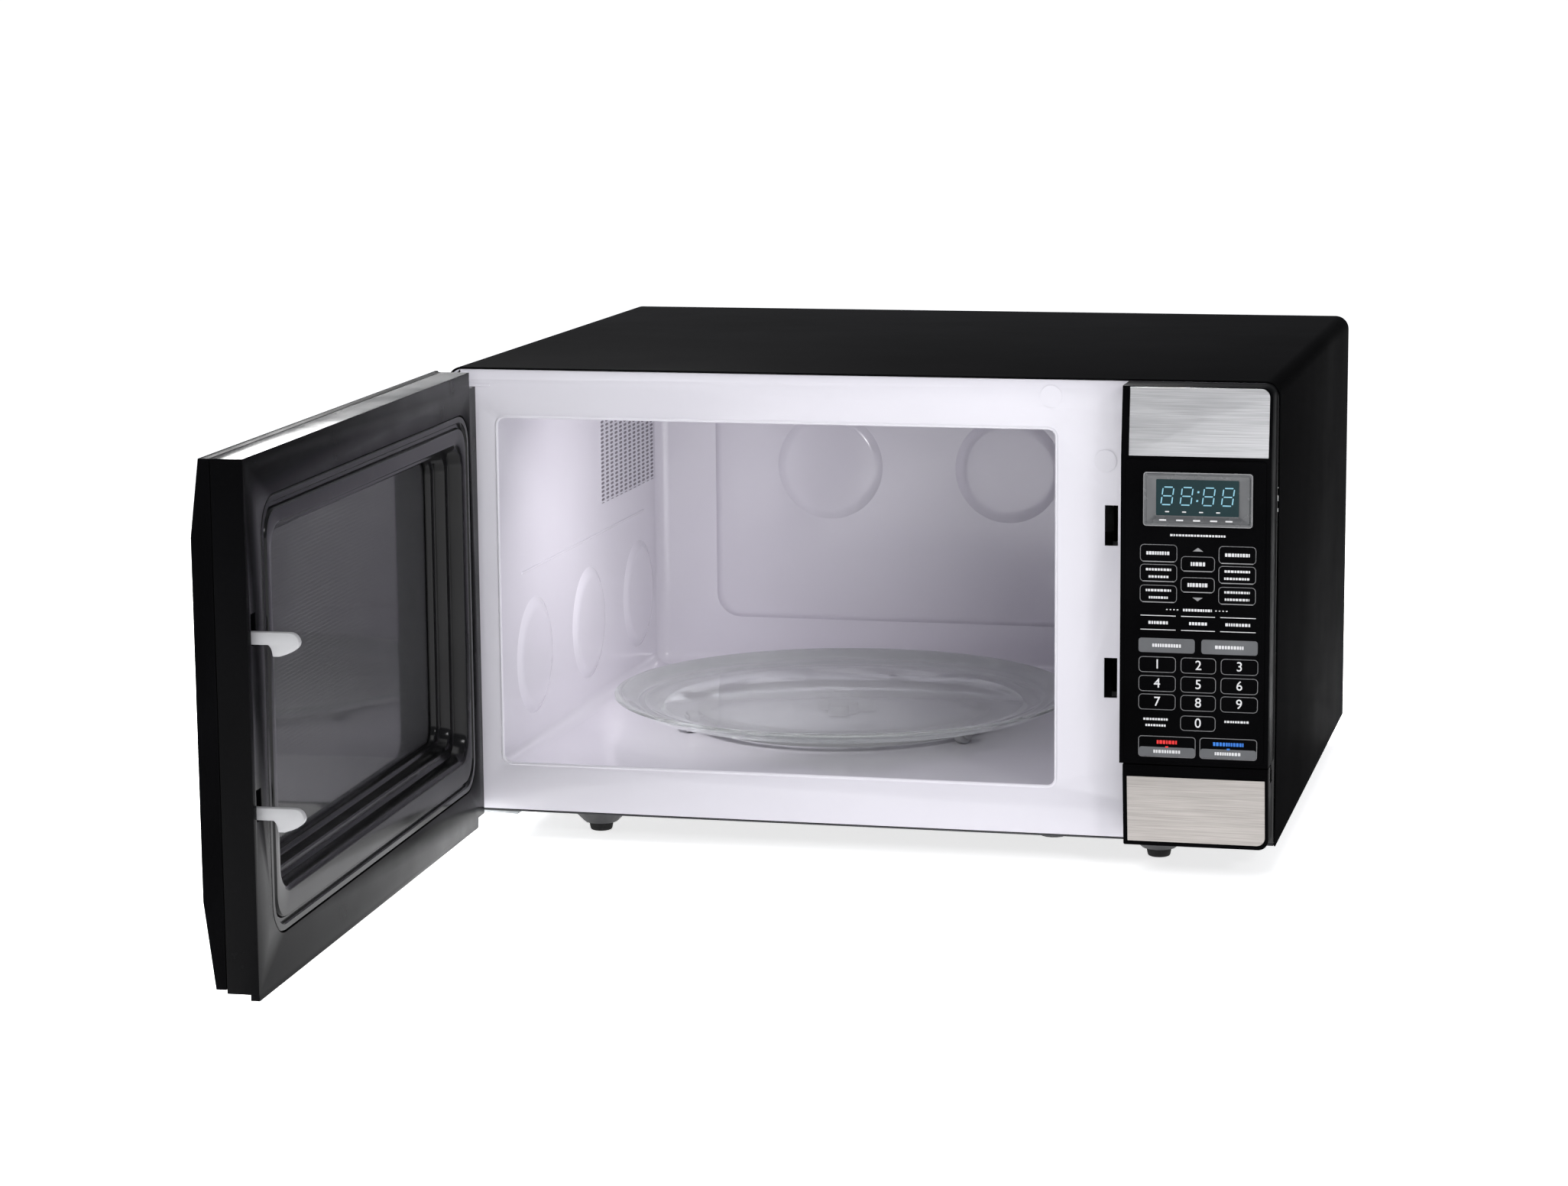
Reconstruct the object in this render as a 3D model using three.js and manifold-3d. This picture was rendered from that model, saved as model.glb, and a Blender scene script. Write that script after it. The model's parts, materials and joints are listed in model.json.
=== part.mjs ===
// Counter-top microwave oven, built as an assembly of separate pieces.
// Millimetres, +Z up. X runs to the right across the front, Y runs from the front to the back.
// Every piece is laid out in the cabinet's own coordinates: X = 0 at the left side, Y = 0 at the front
// plate's face, Z = 0 at the underside of the base plate. The whole group is then shifted so that its
// origin is the middle of its footprint, on the surface that it stands on.
import * as THREE from 'three';
import { mergeVertices } from 'three/addons/utils/BufferGeometryUtils.js';
import Module from 'manifold-3d';

const wasm = await Module();
wasm.setup();

// ---------------------------------------------------------------- driving dimensions
const CABINET_WIDTH = 515;
const CABINET_HEIGHT = 280;
const CABINET_DEPTH = 412;
const SHEET = 1;            // sheet steel of the casing
const GAP = 0.3;            // gap between pieces that touch
const WRAP_RADIUS = 9;      // folded top corners of the wrap
const FOOT_DROP = 17;       // from the base plate down to the feet's soles
const DOOR_OPEN_DEG = 88;   // the door's angle at rest

const LATCH_SPACE = 38.5;        // how far the machine compartment reaches left of the panel's width
const CAVITY_SIDE_SPACE = 27;    // from the cabinet's left side to the cavity's left wall
const CAVITY_FLOOR = 26;         // height of the cavity's floor
const CAVITY_HEADROOM = 25;      // from the cavity's ceiling to the cabinet's top
const CAVITY_REAR_SPACE = 32;    // from the cavity's back wall to the rear panel
const CAVITY_BEND = 9;           // bend radius along the back of the floor and ceiling
const CAVITY_CORNER = 8;         // bend radius of the upright back corners
const MOUTH_LIP = 5;             // how far the front plate covers the cavity's edge

const PANEL_WIDTH = 88.5;        // control panel across the front
const FASCIA_DEPTH = 30.4;       // how far the door and the panel stand forward of the plate
const FASCIA_SLOPE = 5.2;        // how far their top and bottom ends fall back
const CAP_HEIGHT = 40;           // height of the sloping ends
const CAP_BASE = 5.8;            // lower edge of the lower steel cap
const FASCIA_DROP = 1.3;         // from the cabinet's top down to the panel's top edge
const FASCIA_BOTTOM = 3;
const FASCIA_WALL = 2.5;
const TRIM_SHEET = 0.8;          // brushed steel trims

const DOOR_GAP = 1.6;            // between the door's free end and the panel
const DOOR_CLEARANCE = 1.2;      // between the closed door and the front plate
const DOOR_JOINT = 18.7;         // depth of the door frame, where the bezel meets it
const HINGE_X = 6;
const HINGE_Y = -16.5;
const HINGE_PIN_R = 2.5;
const HINGE_CLEAR = 0.3;

const SLOT_INSET = 14.1;         // from a latch slot's left side to the panel
const SLOT_WIDTH = 7.9;
const SLOT_HEIGHT = 24.4;
const SLOT_LOWS = [86.8, 179.4];
const LATCH_TRAVEL = 5.5;

const TABLE_RADIUS = 152;        // glass turntable
const ROLLER_RADIUS = 6.2;
const ROLLER_ORBIT = 105;

// ---------------------------------------------------------------- derived places
const COMPARTMENT_WIDTH = PANEL_WIDTH + LATCH_SPACE;
const CAVITY_LEFT = CAVITY_SIDE_SPACE;
const CAVITY_CEILING = CABINET_HEIGHT - CAVITY_HEADROOM;
const CAVITY_RIGHT = CABINET_WIDTH - COMPARTMENT_WIDTH - 2 * SHEET;
const CAVITY_BACK = CABINET_DEPTH - CAVITY_REAR_SPACE;
const CAVITY_MID_X = (CAVITY_LEFT + CAVITY_RIGHT) / 2;
const CAVITY_MID_Y = CAVITY_BACK / 2;
const COMPARTMENT_LEFT = CAVITY_RIGHT + SHEET + GAP;
const COMPARTMENT_RIGHT = CABINET_WIDTH - SHEET - GAP;
const COMPARTMENT_MID = (COMPARTMENT_LEFT + COMPARTMENT_RIGHT) / 2;
const MOUTH = {
  left: CAVITY_LEFT + MOUTH_LIP - 1,
  right: CAVITY_RIGHT - MOUTH_LIP,
  low: CAVITY_FLOOR + MOUTH_LIP,
  high: CAVITY_CEILING - MOUTH_LIP - 1,
};
const PANEL_RIGHT = CABINET_WIDTH - 1.6;
const PANEL_LEFT = PANEL_RIGHT - PANEL_WIDTH;
const SLOT_X = PANEL_LEFT - SLOT_INSET;
const FASCIA_TOP = CABINET_HEIGHT - FASCIA_DROP;
const FASCIA_FRONT = -FASCIA_DEPTH;
const CAP_LEFT = PANEL_LEFT + 4.7;
const CAP_RIGHT = PANEL_RIGHT - 1.8;
const UPPER_BEND = FASCIA_TOP - CAP_HEIGHT - 0.7;
const LOWER_BEND = CAP_BASE + CAP_HEIGHT + 0.6;
const BUTTON_TOP = LOWER_BEND + 7;
const DOOR_LEFT = 1.2;
const DOOR_RIGHT = PANEL_LEFT - DOOR_GAP;
const DOOR_BACK = -DOOR_CLEARANCE;
const PLATE_BACK = SHEET;
const PIVOT = { y: -14, z: BUTTON_TOP - 3, r: 2.5 };   // rod that the door release swings on
const ARM_LOW = PIVOT.z - 5;
const TAU = 2 * Math.PI;

// ---------------------------------------------------------------- shape helpers
const X_AXIS = new THREE.Matrix4().makeBasis(
  new THREE.Vector3(0, 1, 0), new THREE.Vector3(0, 0, 1), new THREE.Vector3(1, 0, 0));
const Y_AXIS = new THREE.Matrix4().makeBasis(
  new THREE.Vector3(1, 0, 0), new THREE.Vector3(0, 0, 1), new THREE.Vector3(0, -1, 0));

// Turns a closed three.js geometry into a solid that can be joined and cut.
function solid(geometry) {
  const bare = geometry.clone();
  bare.deleteAttribute('normal');
  bare.deleteAttribute('uv');
  const merged = mergeVertices(bare, 1e-4);
  const vertProperties = new Float32Array(merged.attributes.position.array);
  const triVerts = new Uint32Array(merged.index.array);
  return new wasm.Manifold(new wasm.Mesh({ numProp: 3, vertProperties, triVerts }));
}

function box(x0, x1, y0, y1, z0, z1) {
  const geometry = new THREE.BoxGeometry(x1 - x0, y1 - y0, z1 - z0);
  geometry.translate((x0 + x1) / 2, (y0 + y1) / 2, (z0 + z1) / 2);
  return solid(geometry);
}

// A round bar along one axis, from one place to another.
function bar(axis, a, b, from, to, radius, sides = 20) {
  const geometry = new THREE.CylinderGeometry(radius, radius, to - from, sides);
  const middle = (from + to) / 2;
  if (axis === 'x') {
    geometry.rotateZ(Math.PI / 2);
    geometry.translate(middle, a, b);
  } else if (axis === 'y') {
    geometry.translate(a, middle, b);
  } else {
    geometry.rotateX(Math.PI / 2);
    geometry.translate(a, b, middle);
  }
  return solid(geometry);
}

// An outline pushed along one axis. The outline is drawn in YZ for x, XZ for y and XY for z.
function prism(axis, outline, from, to, steps = 6) {
  const geometry = new THREE.ExtrudeGeometry(outline, {
    depth: to - from, bevelEnabled: false, curveSegments: steps });
  if (axis === 'x') {
    geometry.applyMatrix4(X_AXIS);
    geometry.translate(from, 0, 0);
  } else if (axis === 'y') {
    geometry.applyMatrix4(Y_AXIS);
    geometry.translate(0, to, 0);
  } else {
    geometry.translate(0, 0, from);
  }
  return solid(geometry);
}

// A profile of [radius, height] points spun about an upright axis.
function turned(points, x, y, sides = 32) {
  const geometry = new THREE.LatheGeometry(points.map(([r, z]) => new THREE.Vector2(r, z)), sides);
  geometry.rotateX(Math.PI / 2);
  geometry.translate(x, y, 0);
  return solid(geometry);
}

function polygon(points) {
  return new THREE.Shape(points.map(([a, b]) => new THREE.Vector2(a, b)));
}

// A rectangle whose four corners have their own radii: low left, low right, high right, high left.
function roundedRect(a0, a1, b0, b1, radii) {
  const [r0, r1, r2, r3] = Array.isArray(radii) ? radii : [radii, radii, radii, radii];
  const shape = new THREE.Shape();
  const corner = (ca, cb, radius, start) => {
    if (radius > 0) shape.absarc(ca, cb, radius, start, start + Math.PI / 2, false);
    else shape.lineTo(ca, cb);
  };
  shape.moveTo(a0 + r0, b0);
  corner(a1 - r1, b0 + r1, r1, -Math.PI / 2);
  corner(a1 - r2, b1 - r2, r2, 0);
  corner(a0 + r3, b1 - r3, r3, Math.PI / 2);
  corner(a0 + r0, b0 + r0, r0, Math.PI);
  shape.closePath();
  return shape;
}

function joined(...pieces) {
  return pieces.reduce((whole, piece) => whole.add(piece));
}

function cut(piece, ...tools) {
  return tools.reduce((left, tool) => left.subtract(tool), piece);
}

function geometryOf(piece) {
  const mesh = piece.getMesh();
  const geometry = new THREE.BufferGeometry();
  const stride = mesh.numProp;
  const positions = new Float32Array(mesh.vertProperties.length / stride * 3);
  for (let i = 0; i < positions.length / 3; i += 1) {
    positions.set(mesh.vertProperties.subarray(i * stride, i * stride + 3), i * 3);
  }
  geometry.setAttribute('position', new THREE.BufferAttribute(positions, 3));
  geometry.setIndex(new THREE.BufferAttribute(new Uint32Array(mesh.triVerts), 1));
  geometry.computeVertexNormals();
  return geometry;
}

const finishes = {
  blackPaint: [0x101012, 0.3, 0.4],
  whiteEnamel: [0xe6e2ea, 0.3, 0],
  galvanised: [0xb4b8ba, 0.45, 0.9],
  brushedSteel: [0xb9b9bb, 0.35, 1],
  blackPlastic: [0x0c0c0e, 0.25, 0],
  whitePlastic: [0xeeeef0, 0.4, 0],
  rubber: [0x161616, 0.9, 0],
  glass: [0xcfdcd8, 0.05, 0],
  darkGlass: [0x151517, 0.05, 0],
  mica: [0xb9a988, 0.6, 0],
  copper: [0xb0623a, 0.4, 0.8],
  laminated: [0x6e6a66, 0.6, 0.6],
  circuit: [0x2c6b3c, 0.6, 0],
  display: [0x0b2733, 0.2, 0],
  brownPlastic: [0x6a4a30, 0.5, 0],
};

const oven = new THREE.Group();

function addPiece(parent, name, piece, finish) {
  const [color, roughness, metalness] = finishes[finish];
  const material = new THREE.MeshStandardMaterial({ color, roughness, metalness });
  const mesh = new THREE.Mesh(geometryOf(piece), material);
  mesh.name = name;
  parent.add(mesh);
  return mesh;
}

// ---------------------------------------------------------------- casing
// The wrap is one sheet folded over the top and both sides.
function outerWrap() {
  const outer = roundedRect(0, CABINET_WIDTH, 0, CABINET_HEIGHT, [0, 0, WRAP_RADIUS, WRAP_RADIUS]);
  const inner = roundedRect(SHEET, CABINET_WIDTH - SHEET, -1, CABINET_HEIGHT - SHEET,
    [0, 0, WRAP_RADIUS - SHEET, WRAP_RADIUS - SHEET]);
  const front = -SHEET;
  return cut(prism('y', outer, front, CABINET_DEPTH), prism('y', inner, front - 1, CABINET_DEPTH + 1));
}
addPiece(oven, 'outer_wrap', outerWrap(), 'blackPaint');

const INSIDE = SHEET + GAP;
const INNER_RADIUS = WRAP_RADIUS - INSIDE;
const insideOutline = roundedRect(INSIDE, CABINET_WIDTH - INSIDE, INSIDE, CABINET_HEIGHT - INSIDE,
  [0, 0, INNER_RADIUS, INNER_RADIUS]);

// The front plate carries the cavity's mouth, the latch slots and a window behind the control panel.
const HINGE_ARM_THICK = 2;
const UPPER_ARM_LOW = FASCIA_TOP - 9;
const LOWER_ARM_LOW = -GAP - HINGE_ARM_THICK;
const HINGE_ARM_LEFT = DOOR_LEFT + 0.6;
const HINGE_ARM_RIGHT = HINGE_X + 5;

function frontPlate() {
  const mouth = roundedRect(MOUTH.left, MOUTH.right, MOUTH.low, MOUTH.high, [8, 6, 3, 3]);
  const boardWindow = roundedRect(PANEL_LEFT + 8, PANEL_RIGHT - 8, 20, CABINET_HEIGHT - 20, 4);
  const through = (outline) => prism('y', outline, -1, PLATE_BACK + 1);
  let plate = cut(prism('y', insideOutline, 0, PLATE_BACK), through(mouth), through(boardWindow));
  for (const low of SLOT_LOWS) {
    plate = cut(plate, box(SLOT_X, SLOT_X + SLOT_WIDTH, -1, PLATE_BACK + 1, low, low + SLOT_HEIGHT));
  }
  const armSlot = box(HINGE_ARM_LEFT - GAP, HINGE_ARM_RIGHT + GAP, -1, PLATE_BACK + 1,
    UPPER_ARM_LOW - GAP, UPPER_ARM_LOW + HINGE_ARM_THICK + GAP);
  const releaseSlot = box(PANEL_LEFT + 2.5, PANEL_LEFT + 9, -1, PLATE_BACK + 1, ARM_LOW - 2, ARM_LOW + 9);
  return cut(plate, armSlot, releaseSlot);
}
addPiece(oven, 'front_plate', frontPlate(), 'whiteEnamel');

// Feet stand in pressed dishes of the base plate.
const FOOT_INSET_X = 84;
const FOOT_FRONT_Y = 34;
const FOOT_REAR_Y = CABINET_DEPTH - 40;
const FOOT_RIGHT_X = CABINET_WIDTH - 75;
const DISH_DROP = 10.5;
const DISH_TOP_R = 22;
const DISH_LOW_R = 10;
const FEET = {
  foot_front_left: [FOOT_INSET_X, FOOT_FRONT_Y],
  foot_front_right: [FOOT_RIGHT_X, FOOT_FRONT_Y],
  foot_rear_left: [FOOT_INSET_X, FOOT_REAR_Y],
  foot_rear_right: [FOOT_RIGHT_X, FOOT_REAR_Y],
};

function dishOuter([x, y], top, low, drop) {
  return turned([[0, -drop - SHEET], [low + 0.4, -drop - SHEET], [top, 0], [top, SHEET / 2], [0, SHEET / 2]],
    x, y, 16);
}

function dishInner([x, y], top, low, drop) {
  return turned([[0, -drop], [low, -drop], [top - 1, SHEET / 2], [top - 1, 2 * SHEET], [0, 2 * SHEET]],
    x, y, 16);
}

function basePlate() {
  const rear = CABINET_DEPTH - 2 * SHEET - GAP;
  let plate = box(INSIDE, CABINET_WIDTH - INSIDE, 0, rear, 0, SHEET);
  const stiffener = [FOOT_RIGHT_X - 66, FOOT_FRONT_Y + 4];
  const dishes = Object.values(FEET).map((place) => [place, DISH_TOP_R, DISH_LOW_R, DISH_DROP]);
  dishes.push([stiffener, 14, 8, 7]);
  for (const dish of dishes) plate = plate.add(dishOuter(...dish));
  for (const dish of dishes) plate = cut(plate, dishInner(...dish));
  for (let row = 0; row < 8; row += 1) {
    const y = CAVITY_MID_Y + row * 11;
    plate = cut(plate, box(COMPARTMENT_MID + 20, COMPARTMENT_MID + 52, y, y + 4, -1, 2));
  }
  return plate;
}
addPiece(oven, 'base_plate', basePlate(), 'galvanised');

for (const [name, [x, y]] of Object.entries(FEET)) {
  const top = -DISH_DROP - SHEET - GAP;
  const foot = turned([[0, -FOOT_DROP], [6.3, -FOOT_DROP], [7.5, top], [0, top]], x, y, 20);
  addPiece(oven, name, foot, 'rubber');
}

// The rear panel has air slots for the fan and a round hole for the mains lead's bush.
const REAR_FRONT = CABINET_DEPTH - 2 * SHEET;
const INLET = { x: CABINET_WIDTH - 40, z: 40, r: 8 };
const FAN = { x: COMPARTMENT_MID, z: CABINET_HEIGHT - 92, r: 50 };

function rearPanel() {
  let panel = prism('y', insideOutline, REAR_FRONT, REAR_FRONT + SHEET);
  panel = cut(panel, bar('y', INLET.x, INLET.z, REAR_FRONT - 1, CABINET_DEPTH, INLET.r));
  const rows = 11;
  for (let row = 0; row < rows; row += 1) {
    const z = FAN.z + (row - (rows - 1) / 2) * 9;
    const half = Math.sqrt(Math.max(0, FAN.r ** 2 - (z - FAN.z) ** 2)) - 2;
    for (const side of [-1, 1]) {
      const near = FAN.x + side * 3;
      const far = FAN.x + side * Math.max(half, 8);
      panel = cut(panel, box(Math.min(near, far), Math.max(near, far), REAR_FRONT - 1, CABINET_DEPTH,
        z - 2, z + 2));
    }
  }
  for (let row = 0; row < 6; row += 1) {
    const z = 60 + row * 9;
    panel = cut(panel, box(40, 90, REAR_FRONT - 1, CABINET_DEPTH, z, z + 4));
  }
  return panel;
}
addPiece(oven, 'rear_panel', rearPanel(), 'blackPaint');

function cordInlet() {
  const flangeIn = bar('y', INLET.x, INLET.z, REAR_FRONT - 4, REAR_FRONT - GAP, INLET.r + 2.5);
  const neck = bar('y', INLET.x, INLET.z, REAR_FRONT - 2, REAR_FRONT + SHEET + 1, INLET.r - GAP);
  const flangeOut = bar('y', INLET.x, INLET.z, REAR_FRONT + SHEET + GAP, REAR_FRONT + SHEET + 2.5,
    INLET.r + 1.5);
  const bore = bar('y', INLET.x, INLET.z, REAR_FRONT - 6, REAR_FRONT + SHEET + 4, 3.6);
  return cut(joined(flangeIn, neck, flangeOut), bore);
}
addPiece(oven, 'cord_inlet_bush', cordInlet(), 'rubber');

// ---------------------------------------------------------------- cavity
// Side and back bends come from two crossing prisms, one seen from the side and one from above.
const CAVITY_FRONT = PLATE_BACK + GAP;

function cavityBlock(inset, front) {
  const low = CAVITY_FLOOR - inset;
  const high = CAVITY_CEILING + inset;
  const back = CAVITY_BACK + inset;
  const fromSide = roundedRect(front, back, low, high, [0, CAVITY_BEND + inset, CAVITY_BEND + inset, 0]);
  const left = CAVITY_LEFT - inset;
  const right = CAVITY_RIGHT + inset;
  const fromAbove = roundedRect(left, right, front, back,
    [0, 0, CAVITY_CORNER + inset, CAVITY_CORNER + inset]);
  return prism('x', fromSide, left - 1, right + 1, 4).intersect(prism('z', fromAbove, low - 1, high + 1, 4));
}

// A pressed disc stands slightly into the cavity, with the same hollow behind it.
const EMBOSS = 1.6;
const SIDE_DISCS = [-109, 13, 135].map((along) => [CAVITY_MID_Y + along, CAVITY_FLOOR + 59]);
const BACK_DISCS = [-51.5, 76.5].map((along) => [CAVITY_MID_X + along, CAVITY_CEILING - 83]);
const DISC_R = 38;
const VENT = {
  front: CAVITY_BACK - 143,
  back: CAVITY_BACK - 9,
  low: CAVITY_CEILING - 94,
  high: CAVITY_CEILING - 17,
  columns: 8,
  rows: 5,
  r: 4.6,
};
const WAVEGUIDE = {
  front: CAVITY_MID_Y - 40,
  back: CAVITY_MID_Y + 32,
  low: CAVITY_CEILING - 90,
  high: CAVITY_CEILING - 33,
};
const LAMP = { y: 80, z: CAVITY_CEILING - 25 };
const SPINDLE_R = 3.5;

function cone(axis, a, b, wide, narrow, wideAt, narrowAt) {
  const geometry = new THREE.CylinderGeometry(wide, narrow, Math.abs(wideAt - narrowAt), 20);
  const flip = wideAt < narrowAt ? Math.PI : 0;
  geometry.rotateX(flip);
  const middle = (wideAt + narrowAt) / 2;
  if (axis === 'x') {
    geometry.rotateZ(-Math.PI / 2);
    geometry.translate(middle, a, b);
  } else {
    geometry.translate(a, middle, b);
  }
  return solid(geometry);
}

function ovenCavity() {
  let cavity = cut(cavityBlock(SHEET, CAVITY_FRONT), cavityBlock(0, CAVITY_FRONT - 5));
  for (const [y, z] of SIDE_DISCS) {
    cavity = cavity.add(cone('x', y, z, DISC_R, DISC_R - 4, CAVITY_LEFT - 0.5, CAVITY_LEFT + EMBOSS));
    cavity = cut(cavity, cone('x', y, z, DISC_R - 1, DISC_R - 5, CAVITY_LEFT - SHEET - 0.1,
      CAVITY_LEFT + EMBOSS - SHEET));
  }
  for (const [x, z] of BACK_DISCS) {
    cavity = cavity.add(cone('y', x, z, DISC_R, DISC_R - 4, CAVITY_BACK + 0.5, CAVITY_BACK - EMBOSS));
    cavity = cut(cavity, cone('y', x, z, DISC_R - 1, DISC_R - 5, CAVITY_BACK + SHEET + 0.1,
      CAVITY_BACK - EMBOSS + SHEET));
  }
  const stepY = (VENT.back - VENT.front) / VENT.columns;
  const stepZ = (VENT.high - VENT.low) / VENT.rows;
  for (let column = 0; column < VENT.columns; column += 1) {
    for (let row = 0; row < VENT.rows; row += 1) {
      const y = VENT.front + (column + 0.5) * stepY;
      const z = VENT.low + (row + 0.5) * stepZ;
      cavity = cut(cavity, bar('x', y, z, CAVITY_LEFT - 3, CAVITY_LEFT + 3, VENT.r, 4));
    }
  }
  const right = [CAVITY_RIGHT - 3, CAVITY_RIGHT + 3];
  cavity = cut(cavity, box(...right, WAVEGUIDE.front + 6, WAVEGUIDE.back - 6, WAVEGUIDE.low + 6,
    WAVEGUIDE.high - 6));
  for (const dy of [-6, 0, 6]) {
    for (const dz of [-6, 0, 6]) {
      cavity = cut(cavity, bar('x', LAMP.y + dy, LAMP.z + dz, ...right, 1.8, 6));
    }
  }
  const spindleHole = bar('z', CAVITY_MID_X, CAVITY_MID_Y, CAVITY_FLOOR - 3, CAVITY_FLOOR + 3,
    SPINDLE_R + 2, 16);
  return cut(cavity, spindleHole);
}
addPiece(oven, 'oven_cavity', ovenCavity(), 'whiteEnamel');

// ---------------------------------------------------------------- microwave source
const GUIDE_LEFT = COMPARTMENT_LEFT;
const GUIDE_DEPTH = 30;
const GUIDE_RIGHT = GUIDE_LEFT + GUIDE_DEPTH;
const ANTENNA = { y: (WAVEGUIDE.front + WAVEGUIDE.back) / 2, z: WAVEGUIDE.high + 22, r: 9 };
const GUIDE_TOP = ANTENNA.z + 22;

function waveguide() {
  const outer = box(GUIDE_LEFT, GUIDE_RIGHT, WAVEGUIDE.front, WAVEGUIDE.back, WAVEGUIDE.low, GUIDE_TOP);
  const inner = box(GUIDE_LEFT - 1, GUIDE_RIGHT - SHEET, WAVEGUIDE.front + SHEET, WAVEGUIDE.back - SHEET,
    WAVEGUIDE.low + SHEET, GUIDE_TOP - SHEET);
  const hole = bar('x', ANTENNA.y, ANTENNA.z, GUIDE_RIGHT - 3, GUIDE_RIGHT + 1, ANTENNA.r + 2);
  return cut(outer, inner, hole);
}
addPiece(oven, 'waveguide', waveguide(), 'galvanised');

const MICA = 0.6;
addPiece(oven, 'waveguide_cover', box(CAVITY_RIGHT - GAP - MICA, CAVITY_RIGHT - GAP,
  WAVEGUIDE.front - 8, WAVEGUIDE.back + 8, WAVEGUIDE.low - 4, WAVEGUIDE.high + 6), 'mica');

// The magnetron: a steel yoke around a stack of cooling fins on the anode, with the filter box outside.
const MAGNETRON = { left: GUIDE_RIGHT + GAP, length: 62, halfY: 44, low: ANTENNA.z - 40,
  high: CABINET_HEIGHT - SHEET - 4 };

function magnetron() {
  const { left, length, halfY, low, high } = MAGNETRON;
  const right = left + length;
  const front = ANTENNA.y - halfY;
  const back = ANTENNA.y + halfY;
  const yoke = cut(box(left, right, front, back, low, high),
    box(left + 2, right - 2, front - 1, back + 1, low + 2, high - 2));
  const anode = bar('x', ANTENNA.y, (low + high) / 2, left + 1, right - 1, 18, 20);
  let body = joined(yoke, anode);
  for (let fin = 0; fin < 6; fin += 1) {
    const x = left + 10 + fin * 8;
    body = body.add(box(x, x + 0.8, front + 4, back - 4, low + 1, high - 1));
  }
  const filterBox = box(right - 0.5, right + 16, front + 12, back - 12, low + 6, high - 8);
  const antenna = joined(bar('x', ANTENNA.y, ANTENNA.z, left - 20, left + 1, ANTENNA.r - 2),
    bar('x', ANTENNA.y, ANTENNA.z, left - 12, left + 1, ANTENNA.r));
  return joined(body, filterBox, antenna);
}
addPiece(oven, 'magnetron', magnetron(), 'galvanised');

addPiece(oven, 'thermal_cutout', joined(
  box(MAGNETRON.left + 20, MAGNETRON.left + 44, ANTENNA.y - 6, ANTENNA.y + 6,
    MAGNETRON.low - GAP - 1.5, MAGNETRON.low - GAP),
  bar('z', MAGNETRON.left + 32, ANTENNA.y, MAGNETRON.low - 10, MAGNETRON.low - 1, 6)), 'blackPlastic');

// The transformer: a laminated core with two windings stacked on its middle limb.
const CORE = { left: COMPARTMENT_MID - 46, right: COMPARTMENT_MID + 46, front: 118, back: 186,
  low: SHEET + GAP, high: 84 };
const LIMB = 15;
const YOKE = 15;

function transformerCore() {
  const { left, right, front, back, low, high } = CORE;
  const block = box(left, right, front, back, low + 2, high);
  const flange = box(left - 6, right + 6, front - 4, back + 4, low, low + 2.5);
  const middle = (left + right) / 2;
  const windowLeft = box(left + LIMB, middle - LIMB, front - 1, back + 1, low + YOKE, high - YOKE);
  const windowRight = box(middle + LIMB, right - LIMB, front - 1, back + 1, low + YOKE, high - YOKE);
  return cut(joined(block, flange), windowLeft, windowRight);
}
addPiece(oven, 'transformer_core', transformerCore(), 'laminated');

function winding(low, high) {
  const middle = (CORE.left + CORE.right) / 2;
  const outer = roundedRect(CORE.left + LIMB + GAP, CORE.right - LIMB - GAP, CORE.front - 15,
    CORE.back + 15, 8);
  const hole = box(middle - LIMB - GAP, middle + LIMB + GAP, CORE.front - GAP, CORE.back + GAP,
    low - 1, high + 1);
  return cut(prism('z', outer, low, high, 3), hole);
}
const WINDING_LOW = CORE.low + YOKE + GAP;
const WINDING_HIGH = CORE.high - YOKE - GAP;
const WINDING_SPLIT = WINDING_LOW + (WINDING_HIGH - WINDING_LOW) * 0.42;
addPiece(oven, 'primary_winding', winding(WINDING_LOW, WINDING_SPLIT - GAP), 'copper');
addPiece(oven, 'secondary_winding', winding(WINDING_SPLIT, WINDING_HIGH), 'brownPlastic');

// Capacitor can in its strap, behind the transformer.
const CAN = { left: COMPARTMENT_MID - 48, right: COMPARTMENT_MID + 40, front: CORE.back + 46,
  back: CORE.back + 81, low: 6, high: 58 };

function capacitor() {
  const can = prism('x', roundedRect(CAN.front, CAN.back, CAN.low, CAN.high, 16), CAN.left, CAN.right, 5);
  const terminals = [-9, 9].map((dz) => box(CAN.right - 0.5, CAN.right + 9, (CAN.front + CAN.back) / 2 - 0.5,
    (CAN.front + CAN.back) / 2 + 0.5, (CAN.low + CAN.high) / 2 + dz - 3, (CAN.low + CAN.high) / 2 + dz + 3));
  return joined(can, ...terminals);
}
addPiece(oven, 'hv_capacitor', capacitor(), 'galvanised');

function capacitorBracket() {
  const left = CAN.left + 26;
  const right = left + 22;
  const strap = (grow) => roundedRect(CAN.front - grow, CAN.back + grow, CAN.low - grow, CAN.high + grow,
    16 + grow);
  const band = cut(prism('x', strap(GAP + 1.2), left, right, 5), prism('x', strap(GAP), left - 1, right + 1, 5));
  const foot = box(left, right, CAN.back - 4, CAN.back + 22, SHEET + GAP, SHEET + GAP + 1.2);
  const riser = box(left, right, CAN.back + GAP, CAN.back + GAP + 1.2, SHEET + GAP, (CAN.low + CAN.high) / 2);
  return joined(band, foot, riser);
}
addPiece(oven, 'capacitor_bracket', capacitorBracket(), 'galvanised');

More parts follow.
